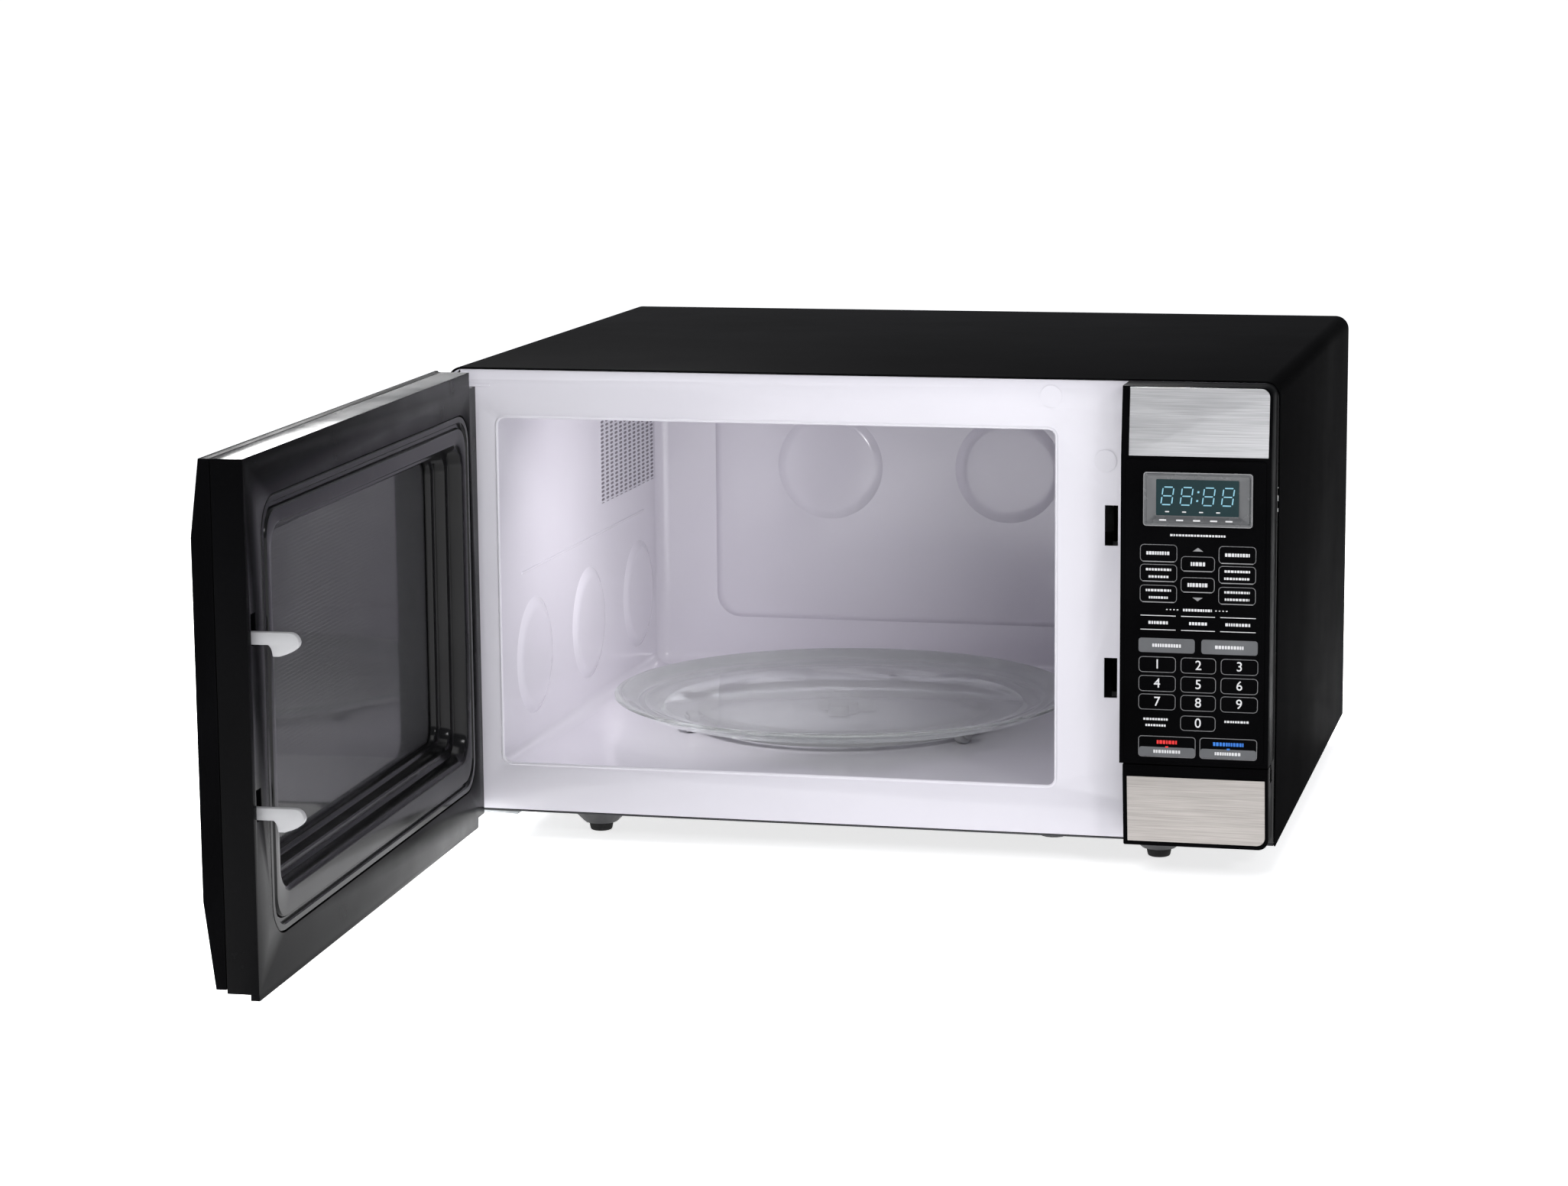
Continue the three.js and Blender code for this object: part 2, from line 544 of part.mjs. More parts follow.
const DIODE = { x: COMPARTMENT_MID + 20, y: CORE.back + 26 };
addPiece(oven, 'hv_diode', joined(
  bar('x', DIODE.y, 12, DIODE.x - 12, DIODE.x + 12, 3.5, 12),
  box(DIODE.x - 16, DIODE.x - 14.8, DIODE.y - 4, DIODE.y + 4, SHEET + GAP, 16),
  bar('x', DIODE.y, 12, DIODE.x - 15.5, DIODE.x - 11, 0.8, 8)), 'blackPlastic');

// ---------------------------------------------------------------- cooling fan
const SHROUD_FRONT = REAR_FRONT - 60;
const SHROUD_RING = 24;
const BLADE_R = FAN.r;
const SHAFT_R = 2;
const MOTOR_FRONT = SHROUD_FRONT + SHROUD_RING + 6;
const MOTOR_BACK = REAR_FRONT - GAP;

function fanShroud() {
  const half = BLADE_R + 9;
  const plate = prism('y', roundedRect(FAN.x - half, FAN.x + half, FAN.z - half, FAN.z + half, 4),
    SHROUD_FRONT, SHROUD_FRONT + 2.5, 2);
  const ring = bar('y', FAN.x, FAN.z, SHROUD_FRONT, SHROUD_FRONT + SHROUD_RING, BLADE_R + 5, 32);
  const bore = bar('y', FAN.x, FAN.z, SHROUD_FRONT - 1, SHROUD_FRONT + SHROUD_RING + 1, BLADE_R + 3, 32);
  let shroud = cut(joined(plate, ring), bore);
  for (const [sx, sz] of [[-1, -1], [-1, 1], [1, -1], [1, 1]]) {
    const x = FAN.x + sx * (BLADE_R + 5);
    const z = FAN.z + sz * (BLADE_R + 5);
    shroud = shroud.add(box(x - 3, x + 3, SHROUD_FRONT + 1, REAR_FRONT - GAP, z - 3, z + 3));
  }
  for (const side of [-1, 1]) {
    const near = FAN.x + side * 26;
    const far = FAN.x + side * (BLADE_R + 5);
    const arm = box(Math.min(near, far), Math.max(near, far), MOTOR_FRONT - 2.5, MOTOR_FRONT - GAP,
      FAN.z - 5, FAN.z + 5);
    const post = box(FAN.x + side * (BLADE_R + 4) - 1.5, FAN.x + side * (BLADE_R + 4) + 1.5,
      SHROUD_FRONT + SHROUD_RING - 3, MOTOR_FRONT - GAP, FAN.z - 5, FAN.z + 5);
    shroud = joined(shroud, arm, post);
  }
  return shroud;
}
addPiece(oven, 'fan_shroud', fanShroud(), 'blackPlastic');

function fanMotor() {
  const stator = box(FAN.x - 30, FAN.x + 30, MOTOR_FRONT, MOTOR_FRONT + 16, FAN.z - 24, FAN.z + 30);
  const rotorCan = bar('y', FAN.x, FAN.z, MOTOR_FRONT - 3, MOTOR_BACK, 13, 20);
  const coil = box(FAN.x - 14, FAN.x + 14, MOTOR_FRONT - 3, MOTOR_FRONT + 20, FAN.z - 40, FAN.z - 22);
  const shaft = bar('y', FAN.x, FAN.z, SHROUD_FRONT + 4, MOTOR_FRONT, SHAFT_R, 12);
  return joined(stator, rotorCan, coil, shaft);
}
addPiece(oven, 'fan_motor', fanMotor(), 'laminated');

function fanBlade() {
  const hub = bar('y', FAN.x, FAN.z, SHROUD_FRONT + 5, SHROUD_FRONT + 21, 9, 20);
  let rotor = hub;
  const count = 5;
  for (let i = 0; i < count; i += 1) {
    const blade = new THREE.BoxGeometry(BLADE_R - 7, 1.2, 24);
    blade.translate((BLADE_R - 7) / 2 + 6, 0, 0);
    blade.rotateX(0.55);
    blade.rotateY(i / count * TAU);
    blade.translate(FAN.x, SHROUD_FRONT + 13, FAN.z);
    rotor = rotor.add(solid(blade));
  }
  const sweep = bar('y', FAN.x, FAN.z, SHROUD_FRONT, SHROUD_FRONT + SHROUD_RING + 2, BLADE_R, 32);
  return cut(rotor.intersect(sweep), bar('y', FAN.x, FAN.z, SHROUD_FRONT, SHROUD_FRONT + 30, SHAFT_R + GAP, 12));
}
const fan = new THREE.Group();
oven.add(fan);
addPiece(fan, 'fan_blade', fanBlade(), 'whitePlastic');

// ---------------------------------------------------------------- cavity lamp
function lampBracket() {
  const left = COMPARTMENT_LEFT;
  const shell = cut(box(left, left + 36, LAMP.y - 20, LAMP.y + 20, LAMP.z - 18, LAMP.z + 18),
    box(left + 1.2, left + 34.8, LAMP.y - 18.8, LAMP.y + 18.8, LAMP.z - 20, LAMP.z + 16.8),
    bar('x', LAMP.y, LAMP.z, left - 1, left + 5, 12, 16));
  const socket = bar('x', LAMP.y, LAMP.z, left + 24, left + 35.5, 9, 16);
  return joined(shell, socket);
}
addPiece(oven, 'lamp_bracket', lampBracket(), 'galvanised');

function lampBulb() {
  const left = COMPARTMENT_LEFT;
  const bulb = new THREE.SphereGeometry(8, 16, 10);
  bulb.translate(left + 12, LAMP.y, LAMP.z);
  return joined(solid(bulb), bar('x', LAMP.y, LAMP.z, left + 12, left + 24 - GAP, 6, 16));
}
addPiece(oven, 'lamp_bulb', lampBulb(), 'glass');

// ---------------------------------------------------------------- line filter board, upright by the cavity
const FILTER = {
  left: COMPARTMENT_LEFT + 5,
  front: CAVITY_BACK - 118,
  back: CAVITY_BACK - 44,
  low: CAVITY_CEILING - 79,
  high: CAVITY_CEILING - 11,
};

function lineFilterBoard() {
  const { left, front, back, low, high } = FILTER;
  let board = box(left, left + 1.6, front, back, low, high);
  for (const [y, z] of [[front + 5, low + 5], [back - 5, low + 5], [front + 5, high - 5], [back - 5, high - 5]]) {
    board = board.add(bar('x', y, z, COMPARTMENT_LEFT, left + 0.5, 2.5, 10));
  }
  const choke = bar('x', front + 24, low + 24, left + 1, left + 20, 13, 20);
  const fuseHolder = box(left + 1, left + 10, back - 22, back - 12, low + 14, high - 14);
  const filterCap = box(left + 1, left + 14, front + 12, front + 38, high - 20, high - 6);
  return joined(board, choke, fuseHolder, filterCap);
}
addPiece(oven, 'line_filter_board', lineFilterBoard(), 'circuit');

// ---------------------------------------------------------------- turntable drive
const MOTOR_TOP = CAVITY_FLOOR - SHEET - GAP;

function turntableMotor() {
  const can = bar('z', CAVITY_MID_X, CAVITY_MID_Y, MOTOR_TOP - 16, MOTOR_TOP, 25, 28);
  const ears = box(CAVITY_MID_X - 34, CAVITY_MID_X + 34, CAVITY_MID_Y - 7, CAVITY_MID_Y + 7,
    MOTOR_TOP - 2, MOTOR_TOP);
  const bore = bar('z', CAVITY_MID_X, CAVITY_MID_Y, MOTOR_TOP - 8, MOTOR_TOP + 1, SPINDLE_R + GAP, 16);
  return cut(joined(can, ears), bore);
}
addPiece(oven, 'turntable_motor', turntableMotor(), 'galvanised');

const TABLE_BASE = CAVITY_FLOOR + 2 * ROLLER_RADIUS + 0.3;
const HUB_TOP = TABLE_BASE - 0.4;
const LOBE_R = 15;
const turntable = new THREE.Group();
oven.add(turntable);

function coupler() {
  let hub = bar('z', CAVITY_MID_X, CAVITY_MID_Y, CAVITY_FLOOR + 1, HUB_TOP, 10, 20);
  for (let i = 0; i < 3; i += 1) {
    const angle = i / 3 * TAU + Math.PI / 6;
    hub = hub.add(bar('z', CAVITY_MID_X + LOBE_R * Math.cos(angle), CAVITY_MID_Y + LOBE_R * Math.sin(angle),
      CAVITY_FLOOR + 3, HUB_TOP, 7, 16));
  }
  const stem = bar('z', CAVITY_MID_X, CAVITY_MID_Y, MOTOR_TOP - 7, CAVITY_FLOOR + 3, SPINDLE_R, 16);
  return hub.add(stem);
}
addPiece(turntable, 'turntable_coupler', coupler(), 'whitePlastic');

// The plate's flat base rises through a curved wall to a rolled rim, with lugs between the coupler's lobes.
const TABLE_RIM = TABLE_BASE + 10;

function glassTable() {
  const r = TABLE_RADIUS;
  const profile = [[0, TABLE_BASE], [r - 34, TABLE_BASE], [r - 26, TABLE_BASE + 1.2], [r - 12, TABLE_BASE + 3.4],
    [r - 2, TABLE_RIM - 4.4], [r, TABLE_RIM - 2.6], [r, TABLE_RIM - 0.8], [r - 1.4, TABLE_RIM],
    [r - 4, TABLE_RIM - 0.6], [r - 14, TABLE_RIM - 3.2], [r - 27, TABLE_BASE + 4.8], [r - 35, TABLE_BASE + 4],
    [0, TABLE_BASE + 4]];
  let plate = turned(profile, CAVITY_MID_X, CAVITY_MID_Y, 48);
  for (let i = 0; i < 3; i += 1) {
    const angle = i / 3 * TAU - Math.PI / 6;
    plate = plate.add(bar('z', CAVITY_MID_X + 15 * Math.cos(angle), CAVITY_MID_Y + 15 * Math.sin(angle),
      TABLE_BASE - 4, TABLE_BASE + 1, 3.5, 12));
  }
  return plate;
}
addPiece(turntable, 'glass_turntable', glassTable(), 'glass');

// The roller ring runs on the floor: a flat ring with three axles, each carrying a roller.
const RING_OUTER = 98;
const RING_INNER = 90;
const AXLE_R = 1.8;
const AXLE_Z = CAVITY_FLOOR + ROLLER_RADIUS + 0.1;
const ROLLER_WIDTH = 6;
const rollerRing = new THREE.Group();
oven.add(rollerRing);

function radialBar(angle, from, to, radius, sides) {
  const geometry = new THREE.CylinderGeometry(radius, radius, to - from, sides);
  geometry.rotateZ(Math.PI / 2);
  geometry.translate((from + to) / 2, 0, 0);
  geometry.rotateZ(angle);
  geometry.translate(CAVITY_MID_X, CAVITY_MID_Y, AXLE_Z);
  return solid(geometry);
}

function ringPiece() {
  let ring = cut(bar('z', CAVITY_MID_X, CAVITY_MID_Y, AXLE_Z - 3, AXLE_Z + 3, RING_OUTER, 48),
    bar('z', CAVITY_MID_X, CAVITY_MID_Y, AXLE_Z - 4, AXLE_Z + 4, RING_INNER, 48));
  for (let i = 0; i < 3; i += 1) {
    const angle = Math.PI / 2 + i / 3 * TAU;
    ring = ring.add(radialBar(angle, RING_OUTER - 3, ROLLER_ORBIT + ROLLER_WIDTH / 2 + 0.4, AXLE_R, 12));
    ring = ring.add(radialBar(angle, ROLLER_ORBIT + ROLLER_WIDTH / 2 + 0.4,
      ROLLER_ORBIT + ROLLER_WIDTH / 2 + 1.8, AXLE_R + 1.2, 12));
  }
  return ring;
}
addPiece(rollerRing, 'roller_ring', ringPiece(), 'whitePlastic');

for (let i = 0; i < 3; i += 1) {
  const angle = Math.PI / 2 + i / 3 * TAU;
  const wheel = cut(
    radialBar(angle, ROLLER_ORBIT - ROLLER_WIDTH / 2, ROLLER_ORBIT + ROLLER_WIDTH / 2, ROLLER_RADIUS, 24),
    radialBar(angle, ROLLER_ORBIT - ROLLER_WIDTH, ROLLER_ORBIT + ROLLER_WIDTH, AXLE_R + GAP, 12));
  addPiece(rollerRing, `roller_${i + 1}`, wheel, 'whitePlastic');
}

// ---------------------------------------------------------------- control panel
// Door and panel share one side profile: an upright middle between two ends that slope back.
function fasciaFront(z) {
  if (z > UPPER_BEND) return FASCIA_FRONT + FASCIA_SLOPE * (z - UPPER_BEND) / (FASCIA_TOP - UPPER_BEND);
  if (z < LOWER_BEND) return FASCIA_FRONT + FASCIA_SLOPE * (LOWER_BEND - z) / (LOWER_BEND - FASCIA_BOTTOM);
  return FASCIA_FRONT;
}

function fasciaProfile(low, high, back, inset) {
  const bends = [LOWER_BEND, UPPER_BEND].filter((z) => z > low && z < high);
  const front = [low, ...bends, high].map((z) => [fasciaFront(z) + inset, z]);
  return polygon([[back, low], [back, high], ...front.reverse()].reverse());
}

const SHELL_BACK = -SHEET - GAP;
const BOARD_FRONT = -17;
const DISPLAY = { left: PANEL_LEFT + 13.6, right: PANEL_RIGHT - 10.5, low: UPPER_BEND - 41,
  high: UPPER_BEND - 9 };
const LENS = { left: DISPLAY.left + 4.5, right: DISPLAY.right - 4.5, low: DISPLAY.low + 4, high: DISPLAY.high - 4 };
const SHELL_FACE_BACK = FASCIA_FRONT + FASCIA_WALL;
const LUG_LEFT = PANEL_LEFT + 14;
const LUG_RIGHT = PANEL_RIGHT - 17;
const LUG_THICK = 3;
const BOARD = { left: PANEL_LEFT + 4, right: PANEL_RIGHT - 4, low: BUTTON_TOP + 18,
  high: FASCIA_TOP - 16.7 };

function controlPanelShell() {
  const low = BUTTON_TOP + GAP;
  const outer = prism('x', fasciaProfile(low, FASCIA_TOP, SHELL_BACK, 0), PANEL_LEFT, PANEL_RIGHT);
  const hollow = prism('x', fasciaProfile(low + 2, FASCIA_TOP - 2, SHELL_BACK + 1, FASCIA_WALL),
    PANEL_LEFT + 2.2, PANEL_RIGHT - 2.2);
  const rounding = prism('y', roundedRect(PANEL_LEFT, PANEL_RIGHT, FASCIA_BOTTOM, FASCIA_TOP, [0, 6, 6, 0]),
    FASCIA_FRONT - 5, 5);
  let shell = cut(outer, hollow).intersect(rounding);
  const window = box(LENS.left, LENS.right, FASCIA_FRONT - 2, SHELL_FACE_BACK + 1, LENS.low, LENS.high);
  shell = cut(shell, window, box(LUG_LEFT - 4, LUG_RIGHT + LUG_THICK + 4, PIVOT.y - 6, -6.8,
    BUTTON_TOP - 1, low + 3));
  const skirt = box(PANEL_LEFT + 4.6, PANEL_RIGHT - 2.6, -6, SHELL_BACK, FASCIA_BOTTOM + 4.5, low + 1);
  const armSlot = box(PANEL_LEFT + 2 + GAP, PANEL_LEFT + 11, -7, 0, PIVOT.z - 7, PIVOT.z + 8);
  shell = cut(shell.add(skirt), armSlot);
  for (const x of [LUG_LEFT, LUG_RIGHT]) {
    const lug = box(x, x + LUG_THICK, PIVOT.y - 4.5, -5, PIVOT.z - 4.5, low + 1);
    shell = shell.add(lug);
  }
  shell = cut(shell, bar('x', PIVOT.y, PIVOT.z, PANEL_LEFT + 3, PANEL_RIGHT - 3, PIVOT.r + GAP, 20));
  for (const x of [BOARD.left + 6, BOARD.right - 6]) {
    for (const z of [BOARD.low + 5, BOARD.high - 5]) {
      shell = shell.add(bar('y', x, z, fasciaFront(z) + 1, BOARD_FRONT - GAP, 3, 10));
    }
  }
  return shell;
}
addPiece(oven, 'control_panel_shell', controlPanelShell(), 'blackPlastic');

// A steel cap lies on a sloping end. Its outline is cut from the front view.
function slopedCap(left, right, low, high, radii) {
  const at = (z, out) => [fasciaFront(z) - GAP - out, z];
  const strip = polygon([at(low, 0), at(high, 0), at(high, TRIM_SHEET), at(low, TRIM_SHEET)]);
  const view = prism('y', roundedRect(left, right, low, high, radii), FASCIA_FRONT - 5, 0, 5);
  return prism('x', strip, left - 1, right + 1).intersect(view);
}
const CAP_LOW = UPPER_BEND + 0.3;
addPiece(oven, 'panel_cap_top', slopedCap(CAP_LEFT, CAP_RIGHT, CAP_LOW, FASCIA_TOP - 0.5, [0, 0, 5, 0]),
  'brushedSteel');

const OVERLAY = 0.5;
function keypadOverlay() {
  const sheet = prism('y', roundedRect(PANEL_LEFT + 3, PANEL_RIGHT - 3, BUTTON_TOP + 2.5, UPPER_BEND - 2, 2),
    FASCIA_FRONT - GAP - OVERLAY, FASCIA_FRONT - GAP, 3);
  return cut(sheet, box(LENS.left, LENS.right, FASCIA_FRONT - 3, 0, LENS.low, LENS.high));
}
addPiece(oven, 'keypad_overlay', keypadOverlay(), 'blackPlastic');

function displayBezel() {
  const face = FASCIA_FRONT - 2 * GAP - OVERLAY;
  const ring = (d) => roundedRect(d.left, d.right, d.low, d.high, 4);
  return cut(prism('y', ring(DISPLAY), face - 1.2, face, 3),
    prism('y', roundedRect(LENS.left, LENS.right, LENS.low, LENS.high, 1), face - 3, 0, 3));
}
addPiece(oven, 'display_bezel', displayBezel(), 'brushedSteel');

addPiece(oven, 'display_window', box(LENS.left + GAP, LENS.right - GAP, FASCIA_FRONT - 0.8,
  SHELL_FACE_BACK - 0.4, LENS.low + GAP, LENS.high - GAP), 'display');
addPiece(oven, 'display_module', box(LENS.left - 3, LENS.right + 3, SHELL_FACE_BACK + GAP, BOARD_FRONT - GAP,
  LENS.low - 3, LENS.high + 3), 'blackPlastic');

function controlBoard() {
  const back = BOARD_FRONT + 1.6;
  const board = box(BOARD.left, BOARD.right, BOARD_FRONT, back, BOARD.low, BOARD.high);
  const relays = [0, 1].map((i) => box(BOARD.right - 24 - i * 26, BOARD.right - 4 - i * 26, back - 0.5,
    back + 14, BOARD.low + 16, BOARD.low + 34));
  const transformer = box(BOARD.left + 16, BOARD.left + 46, back - 0.5, back + 20, BOARD.low + 52, BOARD.low + 78);
  const buzzer = bar('y', BOARD.right - 18, BOARD.high - 60, back - 0.5, back + 8, 8, 16);
  const connector = box(BOARD.left + 20, BOARD.right - 20, back - 0.5, back + 9, BOARD.high - 22, BOARD.high - 14);
  return joined(board, ...relays, transformer, buzzer, connector);
}
addPiece(oven, 'control_board', controlBoard(), 'circuit');

// ---------------------------------------------------------------- door release
// The block below the keypad swings about a rod under its top edge. An arm behind the rod lifts the lever.
const release = new THREE.Group();
oven.add(release);
const LEVER = { left: SLOT_X + SLOT_WIDTH + 6.3, right: SLOT_X + SLOT_WIDTH + 10.8, front: 8, back: 30 };
const ARM_TIP_Y = PIVOT.y + 45;
const BLOCK_BACK = -8;           // its walls stay clear of the front plate when it is pressed

function releaseButton() {
  const high = BUTTON_TOP - 0.4;
  const left = PANEL_LEFT + 2;
  const right = PANEL_RIGHT;
  const block = joined(prism('x', fasciaProfile(FASCIA_BOTTOM, high, PIVOT.y - 5.5, 0), left, right),
    prism('x', fasciaProfile(FASCIA_BOTTOM, PIVOT.z - 8, BLOCK_BACK, 0), left, right));
  const hollow = prism('x', fasciaProfile(FASCIA_BOTTOM + 2, high - 2, 0, FASCIA_WALL), left + 2, right - 2);
  const rounding = prism('y', roundedRect(left, right, FASCIA_BOTTOM, high, [1, 6, 0, 0]), FASCIA_FRONT - 5, 5);
  let button = cut(block, hollow).intersect(rounding);
  for (const x of [LUG_LEFT + LUG_THICK + 2, LUG_RIGHT - 6]) {
    button = button.add(box(x, x + 4, FASCIA_FRONT + 1, PIVOT.y, PIVOT.z - 2, high));
  }
  button = button.add(bar('x', PIVOT.y, PIVOT.z, LUG_LEFT - 1.5, LUG_RIGHT + LUG_THICK + 1.5, PIVOT.r, 20));
  const armLeft = PANEL_LEFT + 3.5;
  const link = box(armLeft, LUG_LEFT - 1, PIVOT.y - 2, PIVOT.y + 2, PIVOT.z - 2, PIVOT.z + 2);
  const arm = box(armLeft, armLeft + 4, PIVOT.y - 2, ARM_TIP_Y, ARM_LOW, ARM_LOW + 4);
  const foot = box(LEVER.left, armLeft + 4, ARM_TIP_Y - 6, ARM_TIP_Y, ARM_LOW, ARM_LOW + 4);
  return joined(button, link, arm, foot);
}
addPiece(release, 'release_button', releaseButton(), 'blackPlastic');
addPiece(release, 'release_button_cap', slopedCap(CAP_LEFT, CAP_RIGHT, CAP_BASE, LOWER_BEND - 0.3, [0, 5, 0, 0]),
  'brushedSteel');

// ---------------------------------------------------------------- interlock
const WEB_LEFT = SLOT_X + SLOT_WIDTH + 3;
const WEB_RIGHT = WEB_LEFT + 2.5;
const BRACKET = { front: PLATE_BACK + GAP, back: 50, low: SLOT_LOWS[0] - 14.8, high: SLOT_LOWS[1] + 44.6 };
const HOOK_REACH = 24;
const HOOK_LOW_BELOW_SLOT = 3.3;
const SWITCH_FRONT = HOOK_REACH + 7;
const SWITCHES = {
  microswitch_primary: SLOT_LOWS[1] - 2,
  microswitch_secondary: SLOT_LOWS[0] - 2,
  microswitch_monitor: SLOT_LOWS[0] + 32,
};

function interlockBracket() {
  const web = box(WEB_LEFT, WEB_RIGHT, BRACKET.front, BRACKET.back, BRACKET.low, BRACKET.high);
  const flangeLeft = WEB_LEFT - 18;
  const flange = box(flangeLeft, WEB_LEFT + 1, BRACKET.front, BRACKET.front + 2.5, BRACKET.low, BRACKET.high);
  let bracket = joined(web, flange);
  for (const low of SLOT_LOWS) {
    bracket = cut(bracket, box(flangeLeft + 3, WEB_LEFT - 1, 0, BRACKET.front + 4, low - 10, low + SLOT_HEIGHT + 3));
    bracket = cut(bracket, box(WEB_LEFT - 1, WEB_RIGHT + 1, 6, 26, low - 14, low + 6));
  }
  for (const low of Object.values(SWITCHES)) {
    bracket = bracket.add(box(WEB_LEFT - 11, WEB_LEFT + 1, SWITCH_FRONT, BRACKET.back, low - 3, low - GAP));
  }
  return bracket;
}
addPiece(oven, 'interlock_bracket', interlockBracket(), 'whitePlastic');

for (const [name, low] of Object.entries(SWITCHES)) {
  const body = box(WEB_LEFT - GAP - 10, WEB_LEFT - GAP, SWITCH_FRONT, SWITCH_FRONT + 16, low, low + 26);
  const plunger = bar('y', WEB_LEFT - GAP - 5, low + 9, SWITCH_FRONT - 3, SWITCH_FRONT + 1, 1.6, 10);
  const tabs = box(WEB_LEFT - GAP - 6, WEB_LEFT - GAP - 4, SWITCH_FRONT + 15, SWITCH_FRONT + 21, low + 3, low + 7);
  addPiece(oven, name, joined(body, plunger, tabs), 'blackPlastic');
}

// The lever slides up the bracket's web and carries a pad under each hook.
const PAD_CLEAR = 0.4;
const lever = new THREE.Group();
oven.add(lever);

function releaseLever() {
  const barLow = ARM_LOW + 4 + GAP;
  const top = SLOT_LOWS[1] - HOOK_LOW_BELOW_SLOT - LATCH_TRAVEL - PAD_CLEAR;
  let piece = box(LEVER.left, LEVER.right, LEVER.front, LEVER.back - 4, ARM_LOW + 14, top);
  piece = piece.add(box(LEVER.left, LEVER.right, LEVER.back - 12, LEVER.back, barLow, ARM_LOW + 20));
  for (const low of SLOT_LOWS) {
    const padTop = low - HOOK_LOW_BELOW_SLOT - LATCH_TRAVEL - PAD_CLEAR;
    piece = piece.add(box(SLOT_X, LEVER.left + 1, 9, 23, padTop - 3, padTop));
  }
  return piece;
}
addPiece(lever, 'release_lever', releaseLever(), 'whitePlastic');

// ---------------------------------------------------------------- hinges
// Both arms are fixed to the cabinet, and their pins stand into the door frame's corners.
const PIN_LENGTH = 12;

function hingeUpper() {
  const low = UPPER_ARM_LOW;
  const high = low + HINGE_ARM_THICK;
  const arm = box(HINGE_ARM_LEFT, HINGE_ARM_RIGHT, HINGE_Y - 5, PLATE_BACK + 3, low, high);
  const flange = box(HINGE_ARM_LEFT, HINGE_ARM_RIGHT + 28, PLATE_BACK + GAP, PLATE_BACK + GAP + 2,
    CAVITY_CEILING + SHEET + 2, high);
  const pin = bar('z', HINGE_X, HINGE_Y, low - PIN_LENGTH, low + 1, HINGE_PIN_R, 20);
  return joined(arm, flange, pin);
}
addPiece(oven, 'hinge_upper', hingeUpper(), 'brushedSteel');

function hingeLower() {
  const low = LOWER_ARM_LOW;
  const high = low + HINGE_ARM_THICK;
  const arm = box(HINGE_ARM_LEFT, HINGE_ARM_RIGHT, HINGE_Y - 5, 26, low, high);
  const plate = box(HINGE_ARM_LEFT, HINGE_ARM_RIGHT + 28, 2, 26, low, high);
  const pin = bar('z', HINGE_X, HINGE_Y, high - 1, high + PIN_LENGTH, HINGE_PIN_R, 20);
  return joined(arm, plate, pin);
}
addPiece(oven, 'hinge_lower', hingeLower(), 'brushedSteel');

// ---------------------------------------------------------------- door, laid out closed
const door = new THREE.Group();
oven.add(door);
const FRAME_LOW = -2.5;
const DOOR_TOP = FASCIA_TOP + 0.5;
const APERTURE = {
  left: CAVITY_LEFT - 9.5,
  right: CAVITY_RIGHT + 12.5,
  low: MOUTH.low - 10.5,
  high: MOUTH.high + 6.5,
  r: 20,
};
const WINDOW = {
  left: MOUTH.left + 5,
  right: APERTURE.right - 20.7,
  low: MOUTH.low + 17,
  high: MOUTH.high - 15,
  r: 14,
};
const FUNNEL_DEPTH = 21.5;
const FRAME_WALL = 2.5;
const LATCH_CHANNEL_LEFT = APERTURE.right + FRAME_WALL;

function hingeNotches() {
  const upper = box(DOOR_LEFT - 2, HINGE_X + 8, HINGE_Y - 7, 1, UPPER_ARM_LOW - 0.5, DOOR_TOP + 2);
  const lower = box(DOOR_LEFT - 2, HINGE_X + 8, HINGE_Y - 7, 1, FRAME_LOW - 6,
    LOWER_ARM_LOW + HINGE_ARM_THICK + 0.5);
  return [upper, lower];
}

function rectRegion(region, grow) {
  return roundedRect(region.left - grow, region.right + grow, region.low - grow, region.high + grow,
    region.r + grow);
}

function doorFrame() {
  const front = -DOOR_JOINT;
  const block = box(DOOR_LEFT, DOOR_RIGHT, front, DOOR_BACK, FRAME_LOW, DOOR_TOP);
  const aperture = prism('y', rectRegion(APERTURE, 0), front - 1, 1, 5);
  const channel = cut(
    box(DOOR_LEFT + FRAME_WALL, DOOR_RIGHT - FRAME_WALL, front - 1, DOOR_BACK - FRAME_WALL,
      FRAME_LOW + FRAME_WALL, DOOR_TOP - FRAME_WALL),
    prism('y', rectRegion(APERTURE, FRAME_WALL), front - 2, 1, 5));
  let frame = cut(block, aperture, channel);
  const lip = box(HINGE_X + 8.5, DOOR_RIGHT - 1, DOOR_BACK - 5, DOOR_BACK, FRAME_LOW - 3.5, FRAME_LOW + 1);
  const upperBlock = box(DOOR_LEFT, HINGE_X + 6, front, DOOR_BACK, UPPER_ARM_LOW - PIN_LENGTH - 2, UPPER_ARM_LOW);
  const lowerBlock = box(DOOR_LEFT, HINGE_X + 6, front, DOOR_BACK, 0, LOWER_ARM_LOW + PIN_LENGTH + 4);
  frame = joined(frame, lip, upperBlock, lowerBlock);
  frame = cut(frame, ...hingeNotches());
  for (const ends of [[UPPER_ARM_LOW - PIN_LENGTH - GAP, UPPER_ARM_LOW + 2],
    [-2, LOWER_ARM_LOW + HINGE_ARM_THICK + PIN_LENGTH + GAP]]) {
    frame = cut(frame, bar('z', HINGE_X, HINGE_Y, ...ends, HINGE_PIN_R + HINGE_CLEAR, 20));
  }
  for (const low of SLOT_LOWS) {
    const hookLow = low - HOOK_LOW_BELOW_SLOT;
    frame = cut(frame, box(SLOT_X - 0.2, SLOT_X + SLOT_WIDTH - 0.6, DOOR_BACK - FRAME_WALL - 1, 1, hookLow + 5.2,
      hookLow + 22));
  }
  return frame;
}
addPiece(door, 'door_frame', doorFrame(), 'blackPlastic');

